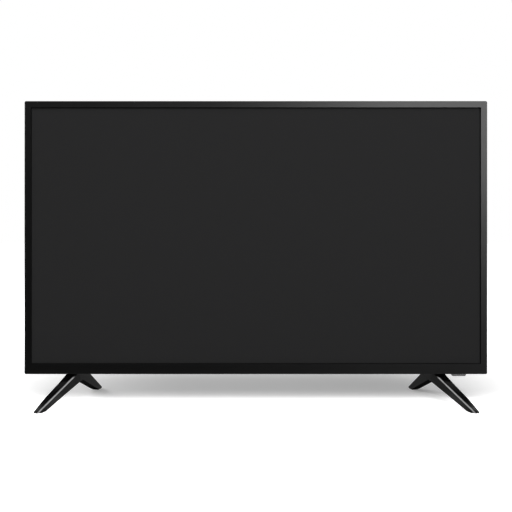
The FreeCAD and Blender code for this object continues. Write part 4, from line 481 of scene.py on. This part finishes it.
for node, tries in CHIP_TRIES:
    low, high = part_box(node)
    taken = list(mounted)
    for attempt in range(tries):
        long, tall, wide = chance.choices(CHIP_SIZES, CHIP_ODDS)[0]
        if chance.random() < 0.5:
            long, wide = wide, long
        x = chance.uniform(low[0] + long + BOARD_MARGIN, high[0] - long - BOARD_MARGIN)
        z = chance.uniform(low[2] + wide + BOARD_MARGIN, high[2] - wide - BOARD_MARGIN)
        apart = CLEARANCE + long / 2, CLEARANCE + wide / 2
        if any(one.x - apart[0] < x < two.x + apart[0] and one.z - apart[1] < z < two.z + apart[1]
               for one, two in taken):
            continue
        foot = Vector((x - long / 2, BOARD_BACK, z - wide / 2))
        top = Vector((x + long / 2, BOARD_BACK + tall, z + wide / 2))
        taken.append((foot, top))
        block(bodies, foot, top, BODY_EDGE, 1)
        lead = Vector((END_LONG, 0, 0)) if long > wide else Vector((0, 0, END_LONG))
        for end in (foot, top):
            other = foot + top - end
            side = Vector((other.x, end.y, end.z)) if long < wide else Vector((end.x, end.y, other.z))
            edge = [Vector(map(pick, zip(end - lead, side + lead))) for pick in (min, max)]
            edge[0].y, edge[1].y = BOARD_BACK, BOARD_BACK + tall * END_HIGH
            block(ends, edge[0], edge[1], CHIP_EDGE, 1)
make("board_chips", bodies, "set", "chip", epoxy)
make("board_chip_ends", ends, "set", "steel", tin)

# Transformer: two ferrite E cores round a bobbin, whose windings are wrapped in amber tape.
ferrite = moulded("ferrite", (0.05, 0.05, 0.052), grain=1100, depth=0.00004, roughness=0.5)
low, high = (Vector(corner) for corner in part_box("transformer"))
YOKE = 0.006
LEG = 0.004
WINDING_PROUD = 0.0045
TAPE_INSET = 0.001
TAPE_GAP = 0.002
TAPE_ROUND = 0.004
FLANGE = 0.0015
LAPS_PER_METRE = 260
core, tape, bobbin = bmesh.new(), bmesh.new(), bmesh.new()
front, back = low.y + WINDING_PROUD, high.y - WINDING_PROUD
for first, last in ((low.z, low.z + YOKE), (high.z - YOKE, high.z)):
    block(core, (low.x, front, first), (high.x, back, last), 0.0005)
for first, last in ((low.x, low.x + LEG), (high.x - LEG, high.x)):
    block(core, (first, front, low.z + YOKE), (last, back, high.z - YOKE), 0.0003)
block(tape, (low.x + LEG + TAPE_INSET, low.y + TAPE_INSET, low.z + YOKE + TAPE_GAP),
      (high.x - LEG - TAPE_INSET, high.y - TAPE_INSET, high.z - YOKE - TAPE_GAP), TAPE_ROUND, 5)
for first in (low.z + YOKE, high.z - YOKE - FLANGE):
    block(bobbin, (low.x + LEG, low.y, first), (high.x - LEG, high.y, first + FLANGE), 0.0004)
make("transformer_core", core, "set", "ferrite", ferrite, "transformer")
fill, place = finish("winding_tape")
lap = place.part("Z").sawtooth(LAPS_PER_METRE) > 0.9
make("transformer_tape", tape, "set", "film", fill(
    Base_Color=lap.mix((0.55, 0.33, 0.05, 1), (0.36, 0.19, 0.03, 1)),
    Roughness=0.32 + place.noise(200) * 0.1,
    Normal=lap.bump(0.00006),
))
make("transformer_bobbin", bobbin, "set", "black_plastic", epoxy)

# Capacitors: three upright aluminium cans in shrunk sleeves, crimped round the foot, each with a scored
# vent in its bare top.
CAN_RADIUS = 0.0086
CAN_SIDES = 36
CROSS_SIDES = 24


def cross(arm):
    """The outline of a cross as a radius for each direction, for a form turned in CROSS_SIDES sides."""
    half = arm * math.tan(math.pi / 12)

    def radius(angle):
        off = abs((angle + math.pi / 4) % (math.pi / 2) - math.pi / 4)
        return min(arm / math.cos(off), half / max(math.sin(off), 1e-6))

    return radius


CAN_FOOT = ((0, 0), (0, 0.0082), (0.0006, CAN_RADIUS), (0.002, CAN_RADIUS), (0.0026, 0.008), (0.0032, 0.008),
            (0.004, CAN_RADIUS))
CAN_SHOULDER = ((-0.0008, CAN_RADIUS), (-0.0002, 0.0082), (0, 0.0076), (-0.0004, 0.0072), (-0.0005, 0))
CAN_VENT = ((-0.0004, 0), (-0.0004, cross(0.0052)), (-0.0001, cross(0.0055)), (-0.0001, 0.007),
            (-0.0004, 0.0072))
sleeves, tops = bmesh.new(), bmesh.new()
for low, high in solids("capacitors"):
    seat = Vector(((low.x + high.x) / 2, low.y, (low.z + high.z) / 2))
    tall = high.y - low.y
    shoulder = [(tall + along, radius) for along, radius in CAN_SHOULDER]
    turn(sleeves, [*CAN_FOOT, *shoulder], seat, "Y", CAN_SIDES)
    turn(tops, [(tall + along, radius) for along, radius in CAN_VENT], seat, "Y", CROSS_SIDES)
sleeve = moulded("shrunk_sleeve", (0.02, 0.022, 0.03), grain=500, depth=0.00001, roughness=0.28)
make("capacitor_sleeves", sleeves, "set", "capacitor", sleeve, "capacitors")


def drawn_metal(name, colour, roughness):
    """Bare metal with fine lines along the way that it was drawn."""
    fill, place = finish(name)
    line = place.scaled(30, 1, 1).noise(60, 4)
    darker = tuple(part * 0.85 for part in colour) + (1,)
    return fill(
        Base_Color=line.between(0.2, 0.8).mix(colour + (1,), darker),
        Metallic=1.0,
        Roughness=roughness + line * 0.14,
        Normal=line.bump(0.00001),
    )


aluminium = drawn_metal("drawn_aluminium", (0.74, 0.75, 0.76), roughness=0.3)
make("capacitor_tops", tops, "set", "aluminium", aluminium)
for node in ("power_heatsink", "chip_heatsink"):
    coat_node(node, aluminium)

# Mains filter: a ferrite ring wound with two enamelled copper wires, upright on a nylon foot.
RING_RADIUS = 0.008
CORE_RADIUS = 0.003
CORE_STEPS = 12
CORE_SIDES = 36
RING_BELOW_TOP = 0.004
WIRE_RADIUS = 0.00045
WIRE_TURNS = 13
WIRE_STEPS = 10
WIRE_STARTS = (0.12, 0.62)
WIRE_SPREAD = 0.377
NYLON_FOOT_HALF = 0.008
NYLON_FOOT_HIGH = 0.0052


def tube(mesh, points, radius, sides=8):
    """Adds a wire along points, with closed ends."""
    rings, across = [], None
    for number, point in enumerate(points):
        way = (points[min(number + 1, len(points) - 1)] - points[max(number - 1, 0)]).normalized()
        across = way.orthogonal() if across is None else across - across.project(way)
        across.normalize()
        up = way.cross(across)
        rings.append([mesh.verts.new(point + (across * math.cos(angle) + up * math.sin(angle)) * radius)
                      for angle in [math.tau * step / sides for step in range(sides)]])
    for first, second in zip(rings, rings[1:]):
        for step in range(sides):
            after = (step + 1) % sides
            mesh.faces.new((first[step], first[after], second[after], second[step]))
    mesh.faces.new(rings[0])
    mesh.faces.new(rings[-1])


low, high = (Vector(corner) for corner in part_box("line_filter"))
middle = Vector(((low.x + high.x) / 2, high.y - RING_RADIUS - RING_BELOW_TOP, (low.z + high.z) / 2))
core, wire, foot = bmesh.new(), bmesh.new(), bmesh.new()
core_turns = [math.tau * step / CORE_STEPS for step in range(CORE_STEPS + 1)]
turn(core, [(CORE_RADIUS * math.sin(angle), RING_RADIUS + CORE_RADIUS * math.cos(angle))
            for angle in core_turns], middle, "Z", CORE_SIDES)
for start in WIRE_STARTS:
    path = []
    for step in range(WIRE_TURNS * WIRE_STEPS + 1):
        round_ring = math.tau * (start + WIRE_SPREAD * step / (WIRE_TURNS * WIRE_STEPS))
        round_core = math.tau * step / WIRE_STEPS
        reach = CORE_RADIUS + WIRE_RADIUS
        out = RING_RADIUS + reach * math.cos(round_core)
        path.append(middle + Vector((out * math.cos(round_ring), out * math.sin(round_ring),
                                     reach * math.sin(round_core))))
    tube(wire, path, WIRE_RADIUS)
block(foot, (middle.x - NYLON_FOOT_HALF, low.y, low.z),
      (middle.x + NYLON_FOOT_HALF, low.y + NYLON_FOOT_HIGH, high.z), 0.0006)
make("filter_core", core, "set", "ferrite", ferrite, "line_filter")
copper = drawn_metal("enamelled_copper", (0.62, 0.24, 0.08), roughness=0.18)
make("filter_wire", wire, "set", "brass", copper)
make("filter_foot", foot, "set", "black_plastic", epoxy)

# Mains inlet: a black moulded shell on the power board with two plated pins inside.
inlet_nylon = moulded("inlet_nylon", (0.018, 0.018, 0.018), grain=1200, depth=0.00002, roughness=0.4)
coat_node("mains_inlet", inlet_nylon)
coat_node("mains_pins", sheet_steel("plated_brass", (0.72, 0.66, 0.5), roughness=0.16))

# Main board's chip, and its sockets along the side: folded shells of tinned steel, each with a moulded
# tongue or contact wires inside, behind a steel panel with their openings.
coat_node("main_chip", epoxy)
for node in ("hdmi_sockets", "usb_socket", "network_socket"):
    coat_node(node, tin)
coat_node("jack_panel", zinc)
gold = sheet_steel("gold_contact", (0.85, 0.62, 0.25), roughness=0.18)
TONGUE_BACK = 0.2385
TONGUE_FRONT = 0.2498
VIDEO_TONGUE = {"reach": 0.0056, "half": 0.0005, "raised": 0.0, "count": 9, "wide": 0.0002}
USB_TONGUE = {"reach": 0.0053, "half": 0.0007, "raised": 0.0009, "count": 4, "wide": 0.0005}
CONTACT_SPAN = 1.7
CONTACT_BACK = TONGUE_BACK + 0.002
CONTACT_FRONT = TONGUE_FRONT - 0.0006
CONTACT_HALF = 0.0001
TONGUE_EDGE = 0.0002
CONTACT_EDGE = 0.00004
NETWORK_WIRE = ((0.004, 0.0026), (0.012, 0.0026), (0.0135, 0.0032), (0.007, 0.0072))
NETWORK_WIRES = 8
NETWORK_PITCH = 0.00102
NETWORK_RADIUS = 0.00022
tongues, contacts = bmesh.new(), bmesh.new()


def tongue(low, high, reach, half, raised, count, wide):
    """Adds the tongue of a socket between its corners, with a row of contacts on its front."""
    seat = (low.y + high.y) / 2 + raised
    middle = (low.z + high.z) / 2
    block(tongues, (TONGUE_BACK, seat - half, middle - reach), (TONGUE_FRONT, seat + half, middle + reach),
          TONGUE_EDGE)
    for number in range(count):
        z = middle + reach * CONTACT_SPAN * ((number + 0.5) / count - 0.5)
        block(contacts, (CONTACT_BACK, seat - half - CONTACT_HALF, z - wide),
              (CONTACT_FRONT, seat - half + CONTACT_HALF, z + wide), CONTACT_EDGE, 1)


for node, sizes in (("hdmi_sockets", VIDEO_TONGUE), ("usb_socket", USB_TONGUE)):
    for low, high in solids(node):
        tongue(low, high, **sizes)
low, high = (Vector(corner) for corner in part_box("network_socket"))
for number in range(NETWORK_WIRES):
    z = (low.z + high.z) / 2 + NETWORK_PITCH * (number - (NETWORK_WIRES - 1) / 2)
    tube(contacts, [Vector((low.x + x, low.y + y, z)) for x, y in NETWORK_WIRE], NETWORK_RADIUS, 6)
make("socket_tongues", tongues, "set", "black_plastic", epoxy)
make("socket_contacts", contacts, "set", "brass", gold)

# Speakers: sealed black boxes hung on rubber grommets. Each driver is a pressed basket with a magnet
# above, and a paper cone that moves on a rubber roll.
rubber = moulded("black_rubber", (0.014, 0.014, 0.014), grain=1600, depth=0.00003, roughness=0.75, shine=0.25)
coat_node("speaker_grommets", rubber)
box_plastic = moulded("box_plastic", (0.018, 0.018, 0.018), grain=800, depth=0.00004, roughness=0.6)
magnet_plate = sheet_steel("magnet_plate", (0.3, 0.3, 0.31), roughness=0.26)
fill, place = finish("paper_cone")
fibre = place.noise(1900, 5)
paper = fill(
    Base_Color=fibre.between(0.3, 0.7).mix((0.022, 0.022, 0.022, 1), (0.05, 0.049, 0.046, 1)),
    Roughness=0.85 + fibre * 0.1,
    Specular_IOR_Level=0.2,
    Normal=fibre.bump(0.00008),
)
BASKET = ((-0.002, 0.0172), (-0.002, 0.0197), (-0.0017, 0.02), (-0.0003, 0.02), (0, 0.0197), (0, 0.018),
          (0.0098, 0.0134), (0.0104, 0.0132), (0.0115, 0.0132), (0.0115, 0.0086), (0.01, 0.0086),
          (0.01, 0.0124), (0, 0.0172), (-0.002, 0.0172))
MAGNET = ((0.01, 0), (0.01, 0.007), (0.017, 0.007), (0.017, 0.0095), (0.0115, 0.0095), (0.0115, 0.0122),
          (0.0118, 0.0125), (0.0187, 0.0125), (0.019, 0.0122), (0.019, 0))
CONE = ((0.0052, 0), (0.0055, 0.003), (0.0062, 0.0055), (0.007, 0.0073), (0.0145, 0.0074), (0.0145, 0.0079),
        (0.0071, 0.0079), (0.006, 0.0099), (0.0037, 0.0119), (0.0004, 0.014), (0, 0.0139), (0.0031, 0.0117),
        (0.0053, 0.0096), (0.006, 0.008), (0.0058, 0.0073), (0.005, 0.0055), (0.0044, 0.003), (0.0041, 0))
DRIVER_PLACE = (0.185, 0.047, 0.05)
DRIVER_SIDES = 40
for side, across in (("left", -1), ("right", 1)):
    coat_node("speaker_box_" + side, box_plastic)
    coat_node("speaker_surround_" + side, rubber)
    seat = Vector((DRIVER_PLACE[0] * across, *DRIVER_PLACE[1:]))
    for part, outline, body, slot, surface in (("basket", BASKET, "set", "steel", zinc),
                                               ("magnet", MAGNET, "set", "magnet", magnet_plate),
                                               ("cone", CONE, "cone_" + side, "paper", paper)):
        mesh = bmesh.new()
        turn(mesh, outline, seat, "Z", DRIVER_SIDES)
        make("round_%s_%s" % (part, side), mesh, body, slot, surface, "speaker_%s_%s" % (part, side))

# Sensor tab: a smoked clear window that hangs under the frame, with the receiver of the remote control
# and a small standby lamp above it on their own board.
TAB_EDGE = 0.0002
coat_node("sensor_board", solder_mask)
receiver_epoxy = moulded("receiver_epoxy", (0.02, 0.016, 0.018), grain=500, depth=0.00001, roughness=0.2)
coat_node("ir_receiver", receiver_epoxy)
fill, place = finish("smoked_window")
coat_node("ir_window", fill(
    Base_Color=place.noise(120).mix((0.38, 0.38, 0.38, 1), (0.4, 0.4, 0.4, 1)),
    Roughness=0.24 + place.noise(500) * 0.03,
    Transmission_Weight=0.8,
    IOR=1.5,
), TAB_EDGE)
LAMP_PLACE = Vector((0.327, -0.001, 0.053))
LAMP_OUTLINE = ((-0.0067, 0), (-0.0065, 0.0006), (-0.006, 0.0011), (-0.0052, 0.0014), (-0.0042, 0.0015),
                (-0.001, 0.0015), (-0.001, 0.0019), (0, 0.0019), (0, 0))
mesh = bmesh.new()
turn(mesh, LAMP_OUTLINE, LAMP_PLACE, "Z", 24)
make("round_standby_lamp", mesh, "set", "clear_plastic", clear_acrylic, "standby_led")

# Power key: a small round key in the cover's lower rim, dished for a fingertip, that presses the
# plunger of the switch under the sensor board.
coat_node("key_switch", epoxy)
coat_node("switch_plunger", white_nylon)
grained_black = moulded("grained_black", (0.02, 0.02, 0.0205), grain=1900, depth=0.00006, roughness=0.5)
KEY_PLACE = Vector((0.322, 0.0096, 0.0428))
KEY_OUTLINE = ((0.0004, 0), (0.0003, 0.0010), (0.0001, 0.0018), (0, 0.0022), (0.0001, 0.0025),
               (0.0003, 0.0026), (0.0033, 0.0026), (0.0033, 0.0032), (0.0041, 0.0032), (0.0041, 0.0012),
               (0.0061, 0.0012), (0.0061, 0))
mesh = bmesh.new()
turn(mesh, KEY_OUTLINE, KEY_PLACE, "Z", 32)
make("round_power_key", mesh, "power_key", "matte_black", grained_black, "power_key")

# Rear cover: one deep moulding with a fine spark-eroded grain, vents over both boards, bays for the
# sockets and the mains inlet, and pillars for its screws.
COVER_EDGE = 0.0004
coat_node("rear_cover", grained_black, COVER_EDGE)

# Screws: blackened pan heads in the cover's recesses and under the feet, bright ones on the boards. Each
# has a cross recess, and its shank is grooved for its thread.
GROOVE_PITCH = 0.0008
GROOVE_WIDE = 0.0004
GROOVE_BOTTOM = 0.82
SCREW_POINT = 0.0006
PAN_HEAD = ((0, 1), (0.3, 1), (0.62, 0.93), (0.86, 0.8), (1, 0.62))
CROSS_RECESS = ((1, 0.52), (0.35, 0.4))
RECESS_FLOOR = 0.3


def screw(mesh, seat, axis, way, head, high, shank, long):
    """Adds a screw whose head rests at a place and faces along an axis, or the other way if way is -1."""
    outline = [(-long, 0), (-long + SCREW_POINT, shank)]
    for groove in range(1, int(long / GROOVE_PITCH) - 1):
        start = -long + SCREW_POINT + groove * GROOVE_PITCH
        outline += [(start, shank), (start + GROOVE_WIDE, shank * GROOVE_BOTTOM)]
    outline.append((0, shank))
    outline += [(high * up, head * out) for up, out in PAN_HEAD]
    outline += [(high * up, cross(head * out)) for up, out in CROSS_RECESS]
    outline.append((high * RECESS_FLOOR, 0))
    turn(mesh, [(along * way, radius) for along, radius in outline], seat, axis, CROSS_SIDES)


SMALL_SCREW = {"head": 0.00275, "high": 0.0021, "shank": 0.0014}
FOOT_SCREW = {"head": 0.0034, "high": 0.0026, "shank": 0.0018}
blackened = sheet_steel("blackened_steel", (0.06, 0.06, 0.062), roughness=0.36)
for node, name, slot, surface in (("rear_cover_screws", "cover_pan_screws", "screw_steel", blackened),
                                  ("board_screws", "board_pan_screws", "steel", tin)):
    mesh = bmesh.new()
    for low, high in solids(node):
        seat = Vector(((low.x + high.x) / 2, high.y - SMALL_SCREW["high"], (low.z + high.z) / 2))
        screw(mesh, seat, "Y", 1, long=seat.y - low.y, **SMALL_SCREW)
    make(name, mesh, "set", slot, surface, node)
mesh = bmesh.new()
for low, high in solids("foot_screws"):
    seat = Vector(((low.x + high.x) / 2, (low.y + high.y) / 2, low.z + FOOT_SCREW["high"]))
    screw(mesh, seat, "Z", -1, long=high.z - seat.z, **FOOT_SCREW)
make("foot_pan_screws", mesh, "set", "screw_steel", blackened, "foot_screws")

# Feet: two splayed V feet, moulded in the same gloss black as the frame, on thin rubber pads. The front
# legs stand a little fuller towards the tip than the solids do. The bevel along the ridge, and the faces at
# its tip, carry a painted highlight: a narrow light grey line in their colour, with a satin roughness, that
# runs out short of the frame. The underside is matte.
FOOT_EDGE = 0.0002
fill, place = finish("foot_gloss")
foot_gloss = fill(
    Base_Color=GLOSS_BLACK,
    Roughness=0.16 + place.noise(14, 3) * 0.05,
    Specular_IOR_Level=0.5,
    Normal=place.noise(RIPPLE_SCALE).bump(RIPPLE_DEPTH),
)
# Painted highlight: a light grey line in the base colour of the ridge bevel and tip faces, within LINE_HALF
# of a sloping line across the foot, fading out between the heights in RUN_OUT; elsewhere gloss black.
fill, place = finish("foot_ridge_painted_highlight")
highlight_mottle = place.noise(160, 3)
painted_highlight_grey = highlight_mottle.between(0.25, 0.75).mix((0.33, 0.33, 0.335, 1), (0.42, 0.42, 0.425, 1))
RUN_OUT = (0.0365, 0.0392)
LINE_FOOT = 0.3247
LINE_SLOPE = 0.954
LINE_HALF = (0.0004, 0.0022)
from_line = abs(place.part("X")) + place.part("Z") * LINE_SLOPE - LINE_FOOT
on_highlight_line = abs(from_line).between(*LINE_HALF, 1, 0)
ridge_painted_highlight = fill(
    Base_Color=(on_highlight_line * place.part("Z").between(*RUN_OUT, 1, 0)).mix(GLOSS_BLACK, painted_highlight_grey),
    Roughness=0.34 + highlight_mottle * 0.1,
)
foot_underside = moulded("foot_underside", LIP_GREY, grain=900, depth=0.00003, roughness=0.8, shine=0.05)
RIDGE_NORMAL = (0.59, -0.47, 0.66)
TIP_NORMAL = (0.68, -0.73, 0)
SAME_WAY = 0.99
TIP_WAY = 0.97
UNDERSIDE = -0.6
TIP_REACH = -0.08
RIDGE_TIP = Vector((0.3207, -0.0883, 0))
RIDGE_SPLAY = 0.3764
LEG_STATIONS = (-0.02, -0.034, -0.047, -0.06, -0.074)
OUTER_SWELL = ((-0.088, 0.0008), (-0.066, 0.0019), (-0.02, 0.0))
INNER_SWELL = ((-0.088, 0.0024), (-0.06, 0.0017), (-0.02, 0.0))
FULL_SWELL = 0.006


def stands_out(course, y):
    """How far one side of the leg stands out at a place along it, on straight runs through its course."""
    for (low, first), (high, second) in zip(course, course[1:]):
        if y <= high:
            return first + (second - first) * max(0, (y - low) / (high - low))
    return 0


for side, inward in (("left", 1), ("right", -1)):
    coat_node("foot_pads_" + side, rubber)
    ridge, tip = (Vector((x * inward, y, z)).normalized() for x, y, z in (RIDGE_NORMAL, TIP_NORMAL))
    mesh = bmesh.new()
    mesh.from_mesh(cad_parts["foot_" + side].data)
    bmesh.ops.remove_doubles(mesh, verts=mesh.verts, dist=SAME_POINT)
    # Faces of the ridge bevel, and of the tip, take the painted highlight; faces turned down take the matte
    # underside.
    for face in mesh.faces:
        front = face.calc_center_median().y < TIP_REACH
        highlight_face = face.normal.dot(ridge) > SAME_WAY or front and face.normal.dot(tip) > TIP_WAY
        face.material_index = 1 if highlight_face else 2 if face.normal.z < UNDERSIDE else 0
    for station in LEG_STATIONS:
        whole = mesh.verts[:] + mesh.edges[:] + mesh.faces[:]
        bmesh.ops.bisect_plane(mesh, geom=whole, dist=WELD_REACH, plane_co=(0, station, 0),
                               plane_no=(0, 1, 0))
    for vert in mesh.verts:
        off_ridge = -inward * vert.co.x - RIDGE_TIP.x + RIDGE_SPLAY * (vert.co.y - RIDGE_TIP.y)
        reach = max(-1, min(1, off_ridge / FULL_SWELL))
        vert.co.x -= inward * reach * stands_out(OUTER_SWELL if off_ridge > 0 else INNER_SWELL, vert.co.y)
    foot = make("full_foot_" + side, mesh, "set", "gloss_black", foot_gloss, "foot_" + side)
    # Slot 1 holds the painted highlight of the ridge, slot 2 the matte underside.
    foot.data.materials.append(ridge_painted_highlight)
    foot.data.materials.append(foot_underside)
    soften(foot, FOOT_EDGE)

# Studio: a pale floor on a white surround, with soft light from high in front, from the
# viewer's right and from behind. In reflections the floor is painted black towards the front and left, a
# painted reflection, and to the camera alone it glows, a painted light round the shadow of the set. The
# camera is level and looks straight at the screen. A ramp, such as SHADE_LEFT, says where it starts and
# ends, and then its values there if they aren't 0 and 1.
FLOOR_REACH = 9
FLOOR_WHITE = (0.86, 0.86, 0.86, 1)
MIRRORED_BACK = (-0.16, 0.02, 0.0, 0.6)
MIRRORED_RIGHT = (0.1, 1.2, 0.04, 0.5)
SHADE_LEFT = (-0.8, -0.1, 1, 0)
SHADE_RIGHT = (0.2, 0.78)
SHADE_FRONT = (-0.055, 0.085, 1, 0)
SHADE_BACK = (0.08, 0.9)
SHADE_GLOW = 0.14
fill, place = finish("studio_floor")
tree = place.socket.id_data
ray = tree.nodes.new("ShaderNodeLightPath").outputs
across, along = place.part("X"), place.part("Y")
# Painted reflection: to glossy rays the floor is black towards the front and the left and pale towards the
# back and the right, so that the gloss black pieces mirror dark there.
painted_reflection_white = along.between(*MIRRORED_BACK) + across.between(*MIRRORED_RIGHT)
floor_material = fill(
    Base_Color=Wire(ray["Is Glossy Ray"]).mix(FLOOR_WHITE, painted_reflection_white.mix((0, 0, 0, 1), FLOOR_WHITE)),
    Roughness=0.9,
    Specular_IOR_Level=0.0,
)
bpy.ops.mesh.primitive_circle_add(vertices=96, radius=FLOOR_REACH, fill_type="NGON")
floor = bpy.context.object
floor.name = "studio_floor"
floor.data.materials.append(floor_material)

# Painted light: to the camera alone the floor glows, by SHADE_GLOW under and behind the set and up to full
# white away from it, which whitens the floor round the set's shadow and sets where that shadow fades out.
sides = across.between(*SHADE_LEFT) + across.between(*SHADE_RIGHT)
ends = along.between(*SHADE_FRONT) + along.between(*SHADE_BACK)
away = 1 - (1 - sides) * (1 - ends)
painted_glow_strength = Wire(ray["Is Camera Ray"]) * (SHADE_GLOW + away * (1 - SHADE_GLOW))
painted_glow = place.node("ShaderNodeEmission", values={"Color": (1, 1, 1, 1), "Strength": painted_glow_strength})
added = place.node("ShaderNodeAddShader", values={0: Wire(tree.nodes["Principled BSDF"].outputs[0]), 1: painted_glow})
tree.links.new(added.socket, tree.nodes["Material Output"].inputs["Surface"])

FILL_LIGHT = 0.12
MIRRORED_SKY = (-0.1, 0.3, 0.05, 0.9)
world = bpy.data.worlds.new("studio")
bpy.context.scene.world = world
world.use_nodes = True
tree = world.node_tree
background = tree.nodes["Background"]
background.inputs["Color"].default_value = (1, 1, 1, 1)
view = Wire(tree.nodes.new("ShaderNodeTexCoord").outputs["Generated"])
ray = tree.nodes.new("ShaderNodeLightPath").outputs
seen = Wire(ray["Is Camera Ray"]) + Wire(ray["Is Transmission Ray"])
behind = view.part("Y").between(*MIRRORED_SKY)
others = FILL_LIGHT + Wire(ray["Is Glossy Ray"]) * (behind - FILL_LIGHT)
strength = others + seen * (1 - others)
tree.links.new(strength.socket, background.inputs["Strength"])


def softbox(name, place, aim, wide, high, radiance):
    """A rectangular soft light that faces a point, by its brightness."""
    light = bpy.data.lights.new(name, "AREA")
    light.shape = "RECTANGLE"
    light.size, light.size_y, light.energy = wide, high, radiance * math.pi * wide * high
    lamp = bpy.data.objects.new(name, light)
    bpy.context.scene.collection.objects.link(lamp)
    lamp.location = place
    lamp.rotation_euler = (Vector(aim) - Vector(place)).to_track_quat("-Z", "Y").to_euler()


softbox("key_softbox", (0.88, -2.3, 0.84), (0.1, 0, 0.3), 1.0, 0.95, 5.6)
softbox("front_softbox", (0.2, -2.4, 2.2), (0, 0, 0.2), 3.2, 1.2, 2.2)
softbox("top_softbox", (0, -1.3, 2.4), (0, 0.05, 0.1), 2.8, 1.4, 3.2)
softbox("rear_softbox", (-2.4, 1.2, 1.3), (0, 0, 0.25), 1.6, 1.4, 5.6)

CAMERA_PLACE = (-0.0145, -1.308, 0.2871)
CAMERA_LENS = 57.80
CAMERA_SENSOR = 36
CAMERA_SHIFT = (0.0182, -0.0706)
camera = bpy.data.objects.new("camera", bpy.data.cameras.new("camera"))
bpy.context.scene.collection.objects.link(camera)
camera.location = CAMERA_PLACE
camera.rotation_euler = (math.pi / 2, 0, 0)
camera.data.lens = CAMERA_LENS
camera.data.sensor_width = CAMERA_SENSOR
camera.data.shift_x, camera.data.shift_y = CAMERA_SHIFT
bpy.context.scene.camera = camera
bpy.context.scene.view_settings.view_transform = "Standard"
